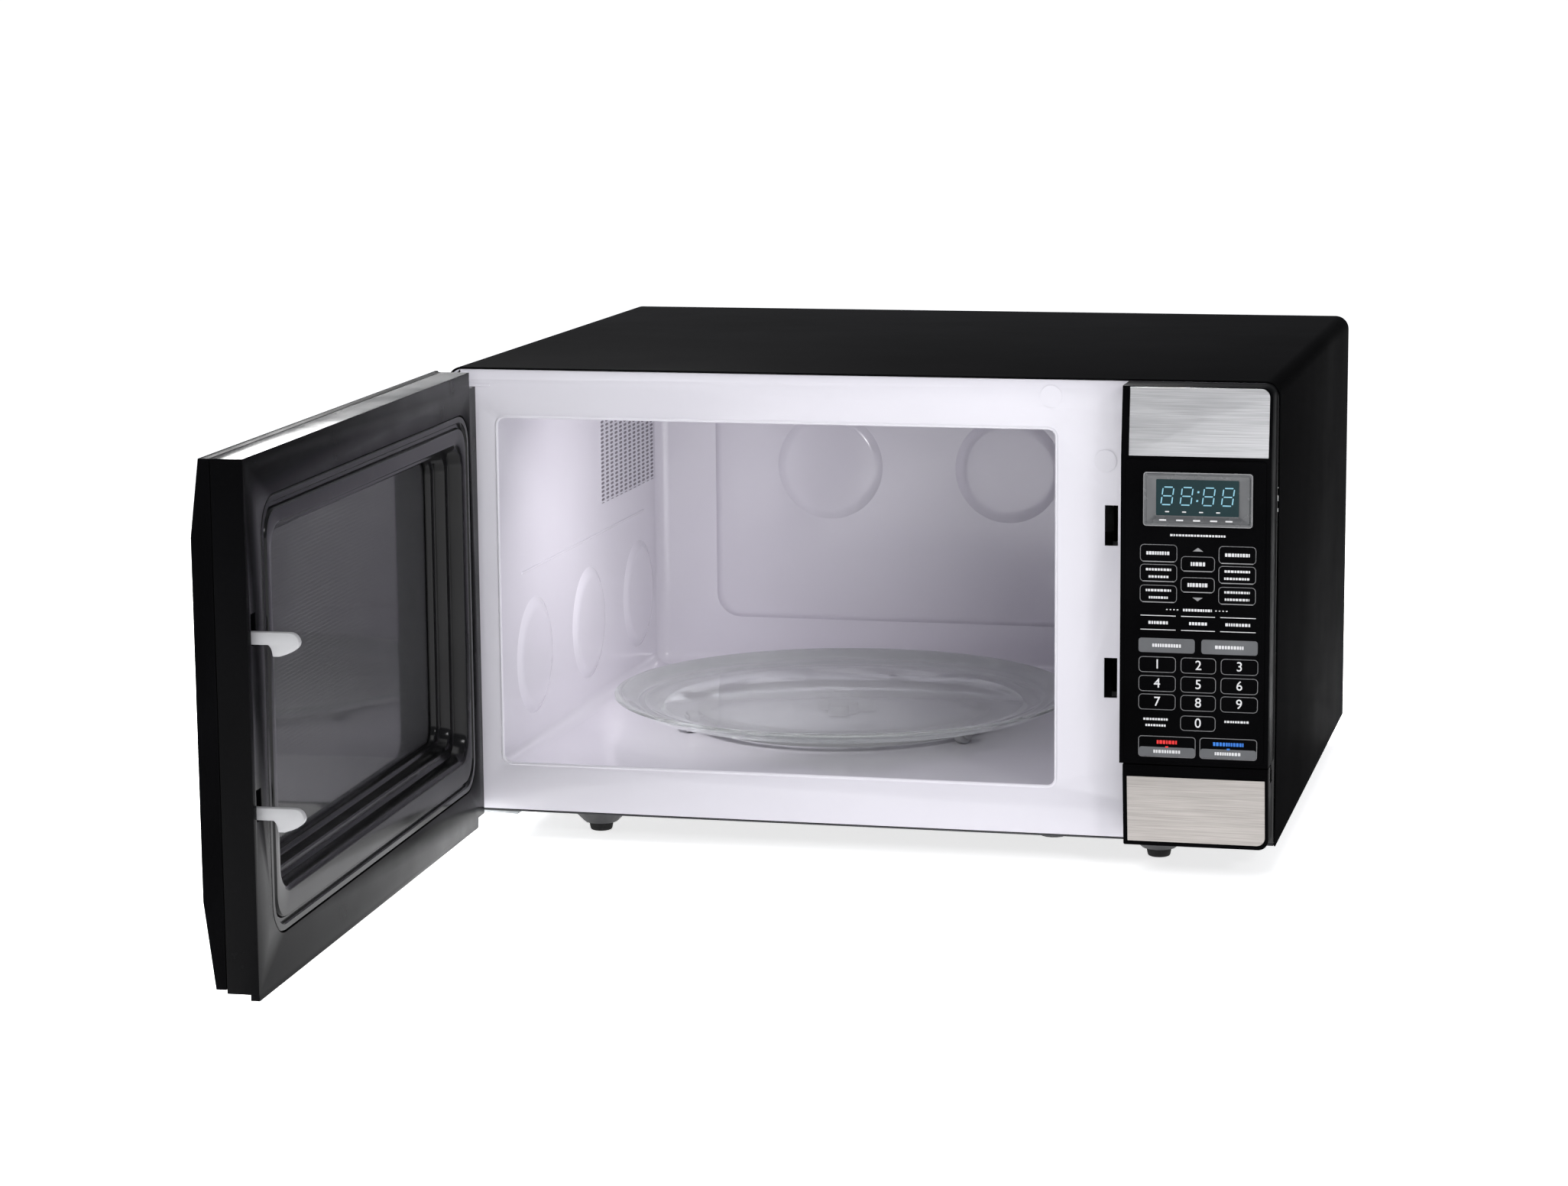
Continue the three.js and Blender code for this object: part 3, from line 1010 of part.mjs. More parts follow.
const PANE = { left: WINDOW.left + 9, right: WINDOW.right + 0.5, low: WINDOW.low + 8, high: WINDOW.high - 8, r: 8 };
const BEZEL_BACK = -DOOR_JOINT - GAP;

function doorBezel() {
  const outer = prism('x', fasciaProfile(FRAME_LOW + 2, DOOR_TOP, BEZEL_BACK, 0), DOOR_LEFT, DOOR_RIGHT);
  const hollow = prism('x', fasciaProfile(FRAME_LOW + 4.5, DOOR_TOP - 2.5, BEZEL_BACK + 1, FASCIA_WALL),
    DOOR_LEFT + 2.5, DOOR_RIGHT - 2.5);
  const rounding = prism('y', roundedRect(DOOR_LEFT, DOOR_RIGHT, FRAME_LOW + 2, DOOR_TOP, [6, 0, 0, 6]),
    FASCIA_FRONT - 5, 0);
  const opening = prism('y', rectRegion(PANE, 0), FASCIA_FRONT - 2, BEZEL_BACK, 4);
  return cut(cut(outer, hollow).intersect(rounding), opening, ...hingeNotches());
}
addPiece(door, 'door_bezel', doorBezel(), 'blackPlastic');

const OUTER_PANE = 2.6;
addPiece(door, 'door_outer_pane', prism('y', rectRegion(PANE, 6), SHELL_FACE_BACK + GAP,
  SHELL_FACE_BACK + GAP + OUTER_PANE, 4), 'darkGlass');

const PAN_FRONT = SHELL_FACE_BACK + 2 * GAP + OUTER_PANE;
const PAN_BACK = DOOR_BACK - FRAME_WALL - GAP;

// The screen pan: its flat face is the perforated screen, its rim is the choke's outer wall.
function doorScreen() {
  const outer = prism('y', rectRegion(APERTURE, -2.5), PAN_FRONT, PAN_BACK, 5);
  const inner = prism('y', rectRegion(APERTURE, -2.5 - SHEET), PAN_FRONT + SHEET, PAN_BACK + 1, 5);
  return cut(outer, inner);
}
addPiece(door, 'door_screen', doorScreen(), 'blackPaint');

function chokeCover() {
  const face = prism('y', rectRegion(APERTURE, -0.5), DOOR_BACK - FRAME_WALL, DOOR_BACK, 5);
  const funnel = prism('y', rectRegion(WINDOW, 2), DOOR_BACK - FUNNEL_DEPTH, DOOR_BACK, 4);
  const bore = prism('y', rectRegion(WINDOW, 0), DOOR_BACK - FUNNEL_DEPTH - 1, 1, 4);
  const screenSide = joined(face, funnel);
  return cut(screenSide, bore);
}
addPiece(door, 'choke_cover', chokeCover(), 'blackPlastic');

const FILM_TOP = DOOR_BACK - FUNNEL_DEPTH - GAP;
addPiece(door, 'inner_film', prism('y', rectRegion(WINDOW, 2), PAN_FRONT + SHEET + GAP, FILM_TOP, 4), 'darkGlass');

for (const [name, low, high] of [
  ['door_trim_top', CAP_LOW, FASCIA_TOP - 0.5], ['door_trim_bottom', CAP_BASE, LOWER_BEND - 0.3]]) {
  const radii = name === 'door_trim_top' ? [0, 0, 0, 5] : [5, 0, 0, 0];
  addPiece(door, name, slopedCap(DOOR_LEFT + 3.6, DOOR_RIGHT - 3.6, low, high, radii), 'brushedSteel');
}

// The latch key is an upright bar in the frame's free side, with a hook through each slot.
const KEY = { left: LATCH_CHANNEL_LEFT + 6, right: DOOR_RIGHT - FRAME_WALL - 3, front: -16, back: -6 };
const HOOK_LEFT = SLOT_X + 1.2;
const HOOK_RIGHT = HOOK_LEFT + 4.5;
const latch = new THREE.Group();
door.add(latch);

// Seen from the side, a hook is a shank with a rounded nose that turns down to its catch.
function hookOutline(low) {
  const shankLow = low + 6;
  const shankHigh = low + 12.5;
  const shape = new THREE.Shape();
  shape.moveTo(KEY.back - 1, shankLow);
  shape.lineTo(PLATE_BACK + 6, shankLow);
  shape.quadraticCurveTo(PLATE_BACK + 8, low + 5, PLATE_BACK + 8.5, low);
  shape.lineTo(PLATE_BACK + 12, low);
  shape.quadraticCurveTo(HOOK_REACH, low + 3, HOOK_REACH, low + 7.5);
  shape.quadraticCurveTo(HOOK_REACH - 1, shankHigh, HOOK_REACH - 6, shankHigh);
  shape.lineTo(KEY.back - 1, shankHigh);
  shape.closePath();
  return shape;
}

function latchKey() {
  const lows = SLOT_LOWS.map((low) => low - HOOK_LOW_BELOW_SLOT);
  let key = box(KEY.left, KEY.right, KEY.front, KEY.back, lows[0] - 8, lows[1] + 24);
  for (const low of lows) key = key.add(prism('x', hookOutline(low), HOOK_LEFT, HOOK_RIGHT, 5));
  const springTab = box(LATCH_CHANNEL_LEFT + 1, KEY.left + 1, -14, -8, lows[0] + 46, lows[0] + 49);
  return key.add(springTab);
}
addPiece(latch, 'latch_key', latchKey(), 'whitePlastic');

// The spring pulls the key down from its tab towards the frame.
class Helix extends THREE.Curve {
  constructor(x, y, low, high, radius, turns) {
    super();
    Object.assign(this, { x, y, low, high, radius, turns });
  }

  getPoint(t, target = new THREE.Vector3()) {
    const angle = t * this.turns * TAU;
    return target.set(this.x + this.radius * Math.cos(angle), this.y + this.radius * Math.sin(angle),
      this.low + t * (this.high - this.low));
  }
}

function latchSpring() {
  const top = SLOT_LOWS[0] - HOOK_LOW_BELOW_SLOT + 46 - 3 * GAP - 0.6;
  const x = LATCH_CHANNEL_LEFT + 3.05;
  const path = new Helix(x, -11, top - 26, top, 2.1, 8);
  const section = new THREE.Shape();
  section.absarc(0, 0, 0.5, 0, TAU, false);
  return solid(new THREE.ExtrudeGeometry(section, { steps: 64, curveSegments: 2, extrudePath: path }));
}
addPiece(door, 'latch_spring', latchSpring(), 'brushedSteel');

// ---------------------------------------------------------------- rest pose and origin
// The door turns about its pins. At rest it stands open.
const pivot = new THREE.Group();
pivot.position.set(HINGE_X, HINGE_Y, 0);
oven.add(pivot);
door.position.set(-HINGE_X, -HINGE_Y, 0);
pivot.add(door);
pivot.rotation.z = -THREE.MathUtils.degToRad(DOOR_OPEN_DEG);

oven.updateMatrixWorld(true);
const bounds = new THREE.Box3().setFromObject(oven, true);
const shift = new THREE.Group();
shift.add(oven);
oven.position.set(-(bounds.min.x + bounds.max.x) / 2, -(bounds.min.y + bounds.max.y) / 2, -bounds.min.z);

export default shift;
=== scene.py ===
# %% [markdown]
# # A counter-top microwave oven
# The oven is an assembly of sheet metal, mouldings and glass. Its sizes, places and joints come from the
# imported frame, so this lesson only adds what the eye needs: rounded edges, pressed shapes, keys, glass
# and finishes. Everything is in metres, with +Y from the front of the oven to its back.

import json
import math
import random

import bmesh
import bpy
from mathutils import Matrix, Vector


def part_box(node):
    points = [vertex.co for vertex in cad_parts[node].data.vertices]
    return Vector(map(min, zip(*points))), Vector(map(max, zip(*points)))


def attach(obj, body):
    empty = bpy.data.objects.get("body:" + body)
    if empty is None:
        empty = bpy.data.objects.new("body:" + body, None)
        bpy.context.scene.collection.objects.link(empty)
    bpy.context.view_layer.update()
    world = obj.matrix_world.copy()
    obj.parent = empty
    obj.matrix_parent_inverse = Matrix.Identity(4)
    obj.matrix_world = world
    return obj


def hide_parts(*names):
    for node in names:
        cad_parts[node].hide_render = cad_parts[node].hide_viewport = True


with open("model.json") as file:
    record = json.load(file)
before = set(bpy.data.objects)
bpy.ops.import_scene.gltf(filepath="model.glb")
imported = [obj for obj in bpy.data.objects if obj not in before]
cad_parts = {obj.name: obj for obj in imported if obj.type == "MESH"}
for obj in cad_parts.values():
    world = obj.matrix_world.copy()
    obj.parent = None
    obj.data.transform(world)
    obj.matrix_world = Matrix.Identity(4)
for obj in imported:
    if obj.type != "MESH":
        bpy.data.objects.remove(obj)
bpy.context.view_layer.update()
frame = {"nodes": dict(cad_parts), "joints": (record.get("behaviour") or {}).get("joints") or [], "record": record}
nodes = frame["nodes"]
record = frame["record"]
body_of = {node: body for body, group in record["behaviour"]["bodies"].items() for node in group}
slot_of = {part["node"]: part["material_slot"] for part in record["subparts"]}
MM = 0.001

# %% [markdown]
# The door stands open, which is awkward to model in. Its pieces are laid out as if it were shut, where
# edges run along X and Z, and one matrix then swings them about the hinge pins to the open door.

# %% The door's swing
door_joint = next(joint for joint in frame["joints"] if joint["name"] == "door_hinge")
hinge_pin = Vector(door_joint["pos_m"])
door_angle = math.radians(door_joint["range_deg"][1])
OPEN_DOOR = (Matrix.Translation(hinge_pin) @ Matrix.Rotation(-door_angle, 4, "Z")
             @ Matrix.Translation(-hinge_pin))
SHUT_DOOR = OPEN_DOOR.inverted()


def box_shut(node):
    """Lowest and highest corner of a door node, as if the door were shut."""
    points = [SHUT_DOOR @ vertex.co for vertex in nodes[node].data.vertices]
    low = Vector([min(point[axis] for point in points) for axis in range(3)])
    high = Vector([max(point[axis] for point in points) for axis in range(3)])
    return low, high


print("door frame, shut:", [[round(c, 4) for c in corner] for corner in box_shut("door_frame")])

# %% [markdown]
# ## Camera
# A long lens from the front right and slightly above keeps upright edges nearly parallel. The camera is
# placed from the cabinet's front left corner, so it follows the frame. The same corner is the origin of
# the cabinet's own coordinates, in millimetres, in which the new pieces are laid out.

# %% Camera
CAMERA_FROM_CORNER = Vector((765.92, -2251.78, 532.5)) * MM
CAMERA_YAW = math.radians(13.797)
CAMERA_PITCH = math.radians(9.5)
CAMERA_ROLL = math.radians(-0.498)
LENS_MM = 88.22
SENSOR_MM = 36
CLIP_END = 700

plate_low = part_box("front_plate")[0]
wrap_low, wrap_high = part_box("outer_wrap")
corner = Vector((wrap_low.x, plate_low.y, wrap_low.z))
CABINET = Matrix.Translation(corner) @ Matrix.Scale(MM, 4)
camera_data = bpy.data.cameras.new("studio_camera")
camera_data.lens = LENS_MM
camera_data.sensor_width = SENSOR_MM
camera_data.clip_end = CLIP_END
camera = bpy.data.objects.new("studio_camera", camera_data)
bpy.context.scene.collection.objects.link(camera)
aim = (Matrix.Rotation(CAMERA_YAW, 4, "Z") @ Matrix.Rotation(math.pi / 2 - CAMERA_PITCH, 4, "X")
       @ Matrix.Rotation(CAMERA_ROLL, 4, "Z"))
camera.matrix_world = Matrix.Translation(corner + CAMERA_FROM_CORNER) @ aim
bpy.context.scene.camera = camera
print("camera at", [round(c, 3) for c in camera.matrix_world.translation])

# %% [markdown]
# ## Floor and light
# A studio sweep is a pale floor that fades into a white background. One flat square does for it.

# %% The floor
FLOOR_HALF_SIZE = 300

scene = bpy.context.scene
scene.view_settings.view_transform = "Standard"
floor_mesh = bpy.data.meshes.new("studio_floor")
floor_bm = bmesh.new()
bmesh.ops.create_grid(floor_bm, x_segments=1, y_segments=1, size=FLOOR_HALF_SIZE)
floor_bm.to_mesh(floor_mesh)
floor_bm.free()
floor = bpy.data.objects.new("studio_floor", floor_mesh)
scene.collection.objects.link(floor)
print("floor half size:", FLOOR_HALF_SIZE, "metres")

# %% [markdown]
# Every shader tree below is made of a few nodes and the links between them. Two helpers write them down
# briefly, so that a tree reads as a list of what goes where.

# %% Node helpers


def add_node(tree, kind, operation=None):
    """A new shader node, with its operation where it has one."""
    node = tree.nodes.new("ShaderNode" + kind)
    if operation:
        node.operation = operation
    return node


def wire(tree, *links):
    """Joins sockets. Each link is (node, output, node, input)."""
    for source, output, sink, entry in links:
        tree.links.new(source.outputs[output], sink.inputs[entry])


# %% [markdown]
# A sky as bright as it looks would wash out the black cabinet. So two skies are mixed: the camera sees
# plain white above the horizon, and everything else is lit by a dimmer one.

# %% The sky
SKY_COLOR = (0.93, 0.95, 1.0, 1)
SKY_STRENGTH = 0.36
BACKDROP_COLOR = (1, 1, 1, 1)

world = bpy.data.worlds.new("studio_air")
world.use_nodes = True
sky = world.node_tree.nodes["Background"]
sky.inputs["Color"].default_value = SKY_COLOR
sky.inputs["Strength"].default_value = SKY_STRENGTH
backdrop = add_node(world.node_tree, "Background")
backdrop.inputs["Color"].default_value = BACKDROP_COLOR
path = add_node(world.node_tree, "LightPath")
choice = add_node(world.node_tree, "MixShader")
wire(world.node_tree, (path, "Is Camera Ray", choice, "Fac"), (sky, "Background", choice, 1),
     (backdrop, "Background", choice, 2),
     (choice, "Shader", world.node_tree.nodes["World Output"], "Surface"))
scene.world = world
print("sky strength:", SKY_STRENGTH)

# %% [markdown]
# The oven is mostly black, so the softboxes stand where the black surfaces don't mirror them to the
# camera. Two behind the oven have a narrow beam. One small lamp stands for the lamp of the oven itself. It
# is hidden from the camera, also through the glass, so that only its light is seen.

# %% The lamps
FRONT_LAMPS = [
    ("key_softbox", (-1.2, -2.6, 2.6), (0, 0, 0.1), 1.6, 29),
    ("fill_softbox", (1.9, -2.4, 1.5), (0, 0.1, 0.1), 0.45, 13),
    ("top_softbox", (0.1, -0.5, 3.0), (0, 0, 0), 2.0, 24),
]
REAR_LAMPS = [
    ("rear_softbox", (-1.3, 3.0, 2.2), (0, 0.2, 0.12), 0.9, 14),
    ("side_softbox", (-3.0, 1.4, 1.6), (0, 0.2, 0.12), 0.9, 14),
]
REAR_SPREAD = math.radians(34)
GLOW_PLACE = CABINET @ Vector((215, 60, 228))
GLOW_TARGET = CABINET @ Vector((27, 220, 70))
GLOW_SIZE = 0.04
GLOW_WATTS = 0.165
GLOW_COLOR = (1.0, 0.97, 1.0)
GLOW_SPREAD = math.radians(110)


def soft_lamp(name, place, target, size, watts, color=(1, 1, 1)):
    """A square softbox that looks at its target."""
    lamp = bpy.data.lights.new(name, "AREA")
    lamp.size = size
    lamp.energy = watts
    lamp.color = color
    holder = bpy.data.objects.new(name, lamp)
    holder.location = place
    holder.rotation_euler = (Vector(target) - Vector(place)).to_track_quat("-Z", "Y").to_euler()
    scene.collection.objects.link(holder)
    return holder


for lamp in FRONT_LAMPS:
    soft_lamp(*lamp)
for lamp in REAR_LAMPS:
    soft_lamp(*lamp).data.spread = REAR_SPREAD
glow = soft_lamp("oven_glow", GLOW_PLACE, GLOW_TARGET, GLOW_SIZE, GLOW_WATTS, GLOW_COLOR)
glow.data.spread = GLOW_SPREAD
glow.visible_camera = False
glow.visible_transmission = False

# %% [markdown]
# ## Shared surface effects
# Painted sheet, enamel and gloss mouldings are never perfectly even. One node group gives a soft
# variation between two values, and its raw height also feeds a Bump node. It is built once, and each
# finish places it with its own values.

# %% Soft variation
NOISE_LOW = 0.3
NOISE_HIGH = 0.7


def node_group(name, inputs, outputs):
    """An empty shader group with named sockets. All of them carry single numbers."""
    group = bpy.data.node_groups.new(name, "ShaderNodeTree")
    for label, value in inputs:
        socket = group.interface.new_socket(name=label, in_out="INPUT", socket_type="NodeSocketFloat")
        socket.default_value = value
    for label in outputs:
        group.interface.new_socket(name=label, in_out="OUTPUT", socket_type="NodeSocketFloat")
    return group, group.nodes.new("NodeGroupInput"), group.nodes.new("NodeGroupOutput")


def spread_noise(group, source, noise, sink):
    """Stretches the middle of a noise over Low to High. Height is the noise itself."""
    spread = add_node(group, "MapRange")
    spread.inputs["From Min"].default_value = NOISE_LOW
    spread.inputs["From Max"].default_value = NOISE_HIGH
    wire(group, (noise, "Fac", spread, "Value"), (source, "Low", spread, "To Min"),
         (source, "High", spread, "To Max"), (spread, "Result", sink, "Value"),
         (noise, "Fac", sink, "Height"))


def soft_variation_group():
    """Slow noise, the same in every direction."""
    inputs = [("Scale", 6), ("Detail", 3), ("Low", 0), ("High", 1)]
    group, source, sink = node_group("soft_variation", inputs, ["Value", "Height"])
    place = add_node(group, "TexCoord")
    noise = add_node(group, "TexNoise")
    wire(group, (place, "Object", noise, "Vector"), (source, "Scale", noise, "Scale"),
         (source, "Detail", noise, "Detail"))
    spread_noise(group, source, noise, sink)
    return group


SOFT_VARIATION = soft_variation_group()
print("made", SOFT_VARIATION.name)

# %% [markdown]
# The vent and the door's screen have thousands of tiny round holes. Cut holes would need millions of
# triangles, so a group draws them: it folds the surface into equal cells and asks whether a point is near
# the middle of its cell. The turn lets the grid lie along the open door.

# %% Hole grid


def hole_grid_group():
    """A square grid of round holes on an upright plane. Mask is 1 in a hole."""
    inputs = [("Turn", 0), ("Pitch", 0.002), ("Wide", 1), ("Radius", 0.3)]
    group, source, sink = node_group("hole_grid", inputs, ["Mask"])
    place = add_node(group, "TexCoord")
    turn = add_node(group, "VectorRotate")
    turn.rotation_type = "Z_AXIS"
    across = add_node(group, "Math", "MULTIPLY")
    pitches = add_node(group, "CombineXYZ")
    pitches.inputs["Y"].default_value = 1
    scale = add_node(group, "VectorMath", "DIVIDE")
    cell = add_node(group, "VectorMath", "FRACTION")
    center = add_node(group, "VectorMath", "SUBTRACT")
    center.inputs[1].default_value = (0.5, 0.5, 0.5)
    flatten = add_node(group, "VectorMath", "MULTIPLY")
    flatten.inputs[1].default_value = (1, 0, 1)
    reach = add_node(group, "VectorMath", "LENGTH")
    inside = add_node(group, "Math", "LESS_THAN")
    wire(group, (place, "Object", turn, "Vector"), (source, "Turn", turn, "Angle"),
         (turn, "Vector", scale, 0), (source, "Pitch", across, 0), (source, "Wide", across, 1),
         (across, "Value", pitches, "X"), (source, "Pitch", pitches, "Z"), (pitches, "Vector", scale, 1),
         (scale, "Vector", cell, 0), (cell, "Vector", center, 0), (center, "Vector", flatten, 0),
         (flatten, "Vector", reach, 0), (reach, "Value", inside, 0), (source, "Radius", inside, 1),
         (inside, "Value", sink, "Mask"))
    return group


HOLE_GRID = hole_grid_group()
print("made", HOLE_GRID.name)

# %% [markdown]
# Brushed steel has fine parallel scratches. The same noise gives them when it is squeezed hard across the
# brushing and hardly along it.

# %% Brushed lines


def brushed_lines_group():
    """Noise stretched into level lines."""
    inputs = [("Turn", 0), ("Along", 30), ("Across", 2600), ("Low", 0), ("High", 1)]
    group, source, sink = node_group("brushed_lines", inputs, ["Value", "Height"])
    place = add_node(group, "TexCoord")
    turn = add_node(group, "VectorRotate")
    turn.rotation_type = "Z_AXIS"
    scale = add_node(group, "CombineXYZ")
    stretch = add_node(group, "VectorMath", "MULTIPLY")
    noise = add_node(group, "TexNoise")
    noise.inputs["Scale"].default_value = 1
    noise.inputs["Detail"].default_value = 2
    wire(group, (place, "Object", turn, "Vector"), (source, "Turn", turn, "Angle"),
         (source, "Along", scale, "X"), (source, "Along", scale, "Y"), (source, "Across", scale, "Z"),
         (turn, "Vector", stretch, 0), (scale, "Vector", stretch, 1), (stretch, "Vector", noise, "Vector"))
    spread_noise(group, source, noise, sink)
    return group


BRUSHED_LINES = brushed_lines_group()
print("made", BRUSHED_LINES.name)

# %% [markdown]
# ## Finishes
# Every finish is a Principled shader. What is the same all over a surface is set on the shader's own
# socket. What varies, such as the tone, the roughness and the relief, comes from the groups.

# %% Material helpers


def finish(name, color, roughness, metallic=0.0, **constants):
    """A Principled material. Constants name its sockets, with underscores for spaces."""
    material = bpy.data.materials.new(name)
    material.use_nodes = True
    shader = material.node_tree.nodes["Principled BSDF"]
    shader.inputs["Base Color"].default_value = (*color, 1)
    shader.inputs["Roughness"].default_value = roughness
    shader.inputs["Metallic"].default_value = metallic
    for label, value in constants.items():
        shader.inputs[label.replace("_", " ")].default_value = value
    return material


def use_group(material, group, **values):
    """Places a group in a material with its own values."""
    node = add_node(material.node_tree, "Group")
    node.node_tree = group
    for label, value in values.items():
        node.inputs[label].default_value = value
    return node


def color_mix(tree):
    """A node that mixes two colours."""
    mix = add_node(tree, "Mix")
    mix.data_type = "RGBA"
    return mix


def tone(material, node, dark, light):
    """Lets a value slide the base colour between two tones."""
    tree = material.node_tree
    ramp = color_mix(tree)
    ramp.inputs["A"].default_value = (*dark, 1)
    ramp.inputs["B"].default_value = (*light, 1)
    wire(tree, (node, "Value", ramp, "Factor"), (ramp, "Result", tree.nodes["Principled BSDF"], "Base Color"))


def rough(material, node):
    """Lets a value set the roughness."""
    wire(material.node_tree, (node, "Value", material.node_tree.nodes["Principled BSDF"], "Roughness"))


def bump(material, node, strength, distance=0.0002):
    """Turns a group's height into a faint relief."""
    tree = material.node_tree
    relief = add_node(tree, "Bump")
    relief.inputs["Strength"].default_value = strength
    relief.inputs["Distance"].default_value = distance
    wire(tree, (node, "Height", relief, "Height"),
         (relief, "Normal", tree.nodes["Principled BSDF"], "Normal"))


# %% [markdown]
# Two kinds of surface cover nearly everything: a coat, which is paint, enamel or moulded plastic, and
# brushed metal. Each is one function, so that all finishes of a kind behave alike.

# %% Coats and brushed metal


def coated(name, dark, light, rough_low, rough_high, scale=40, bump_scale=900, bump_strength=0.08,
           metallic=0.0, **constants):
    """Paint, enamel or plastic: a slow change of tone, uneven gloss and a fine orange-peel."""
    material = finish(name, light, rough_high, metallic, **constants)
    slow = use_group(material, SOFT_VARIATION, Scale=scale, Detail=3)
    gloss = use_group(material, SOFT_VARIATION, Scale=scale * 3, Detail=4, Low=rough_low, High=rough_high)
    peel = use_group(material, SOFT_VARIATION, Scale=bump_scale, Detail=2)
    tone(material, slow, dark, light)
    rough(material, gloss)
    bump(material, peel, bump_strength)
    return material


def brushed(name, dark, light, rough_low, rough_high, turn=0.0):
    """Steel brushed along one direction, with an anisotropic highlight."""
    material = finish(name, light, rough_high, 1.0, Anisotropic=0.3)
    lines = use_group(material, BRUSHED_LINES, Turn=turn)
    slow = use_group(material, BRUSHED_LINES, Turn=turn, Along=9, Across=420, Low=rough_low, High=rough_high)
    tone(material, lines, dark, light)
    rough(material, slow)
    bump(material, lines, 0.12, 0.00005)
    return material


# %% [markdown]
# The casing is black paint with hardly any shine. The front and the cavity are white enamel, which is glassy. The
# front has a finish of its own, because part of it is turned black further down as painted shade.

# %% Paint and enamel
PAINT = coated("black_paint", (0.0034, 0.0034, 0.0036), (0.0044, 0.0044, 0.0047), 0.4, 0.46, 6, 1100, 0.05,
               Specular_IOR_Level=0.0001)
ENAMEL = coated("white_enamel", (0.74, 0.72, 0.78), (0.78, 0.765, 0.82), 0.13, 0.2, 5, 350, 0.03,
                Coat_Weight=0.35, Coat_Roughness=0.08)
PLATE_ENAMEL_WITH_SEAM_SHADE = coated("front_plate_enamel_with_seam_shade", (0.74, 0.72, 0.78), (0.78, 0.765, 0.82), 0.13, 0.2, 5, 350, 0.03)

# %% [markdown]
# The mouldings are black plastic in three grades: glossy round the window, shinier on the door's cover and
# satin elsewhere. A low specular level keeps them black, because a plastic that mirrors the pale studio
# looks grey.

# %% Black mouldings
GLOSS_BLACK = coated("gloss_black_moulding", (0.0016, 0.0016, 0.0018), (0.0026, 0.0026, 0.003), 0.2, 0.28, 10,
                     700, 0.03, Specular_IOR_Level=0.035)
GLOSS_COVER = coated("door_cover_moulding", (0.003, 0.003, 0.0032), (0.0045, 0.0045, 0.005), 0.12, 0.2, 10,
                     700, 0.03, Specular_IOR_Level=0.2)
SATIN_BLACK = coated("satin_black_moulding", (0.0018, 0.0018, 0.002), (0.003, 0.003, 0.0034), 0.32, 0.42, 14,
                     1500, 0.06, Specular_IOR_Level=0.003)

# %% [markdown]
# The caps and trims are brushed steel. The lower cap is tinted a little warmer than the upper one, as a painted
# reflection of warm light from below. The door's steel turns its brushing with the open door. Hidden sheet metal
# is plated with zinc.

# %% Steels
STEEL = brushed("brushed_steel", (0.42, 0.42, 0.43), (0.58, 0.58, 0.59), 0.55, 0.62)
# The same steel, tinted warmer: a painted reflection of warm light on the lower cap.
REFLECTION_TINTED_STEEL = brushed("brushed_steel_painted_reflection", (0.42, 0.393, 0.372), (0.56, 0.53, 0.505), 0.55, 0.62)
DOOR_STEEL = brushed("brushed_steel_door", (0.42, 0.42, 0.43), (0.58, 0.58, 0.59), 0.55, 0.62, door_angle)
ZINC = coated("zinc_plated_sheet", (0.42, 0.44, 0.45), (0.6, 0.62, 0.64), 0.3, 0.5, 120, 900, 0.05, 1.0)

# %% [markdown]
# The latch hooks and the turntable's support are white plastic, and the feet are rubber.

# %% White plastic and rubber
WHITE_PLASTIC = coated("white_moulding", (0.37, 0.37, 0.38), (0.41, 0.41, 0.42), 0.3, 0.38, 20, 900, 0.04)
RUBBER = coated("foot_rubber", (0.008, 0.008, 0.008), (0.016, 0.016, 0.016), 0.75, 0.9, 60, 1800, 0.3)

# %% [markdown]
# The turntable's glass is cloudy enough to show its form against a white cavity, so it lets only part of
# the light through. The door's outer pane is smoked.

# %% Glass
CLEAR_GLASS = coated("clear_glass", (0.58, 0.605, 0.59), (0.62, 0.64, 0.63), 0.0, 0.02, 6, 300, 0.0,
                     Transmission_Weight=0.72, IOR=1.1, Coat_Weight=0.7, Coat_Roughness=0.02)
SMOKED_GLASS = coated("smoked_glass", (0.3, 0.305, 0.315), (0.33, 0.335, 0.345), 0.02, 0.05, 6, 300, 0.0,
                      Transmission_Weight=1.0, IOR=1.45)

# %% [markdown]
# These finishes belong to parts under or inside the casing: the base, whose near-black tone is painted shade
# because it faces down, the mica cover of the waveguide, the transformer's windings and core, and the circuit
# boards.

# %% Inner parts
# The base is near black as painted shade, because it faces down.
BASE_PAINTED_SHADE = coated("base_plate_painted_shade", (0.03, 0.031, 0.034), (0.045, 0.046, 0.05), 0.4, 0.55, 30, 900, 0.05)
MICA = coated("mica_sheet", (0.45, 0.38, 0.27), (0.56, 0.49, 0.37), 0.4, 0.65, 60, 400, 0.25)
COPPER = coated("copper_winding", (0.35, 0.13, 0.06), (0.5, 0.2, 0.09), 0.3, 0.45, 300, 1500, 0.3, 0.9)
LAMINATED = coated("laminated_steel", (0.1, 0.095, 0.09), (0.2, 0.19, 0.18), 0.45, 0.65, 200, 1500, 0.3, 0.6)
CIRCUIT = coated("circuit_board", (0.01, 0.09, 0.035), (0.02, 0.15, 0.06), 0.35, 0.55, 120, 900, 0.1)
TAPE = coated("winding_tape", (0.1, 0.055, 0.03), (0.18, 0.1, 0.06), 0.5, 0.65, 90, 900, 0.2)
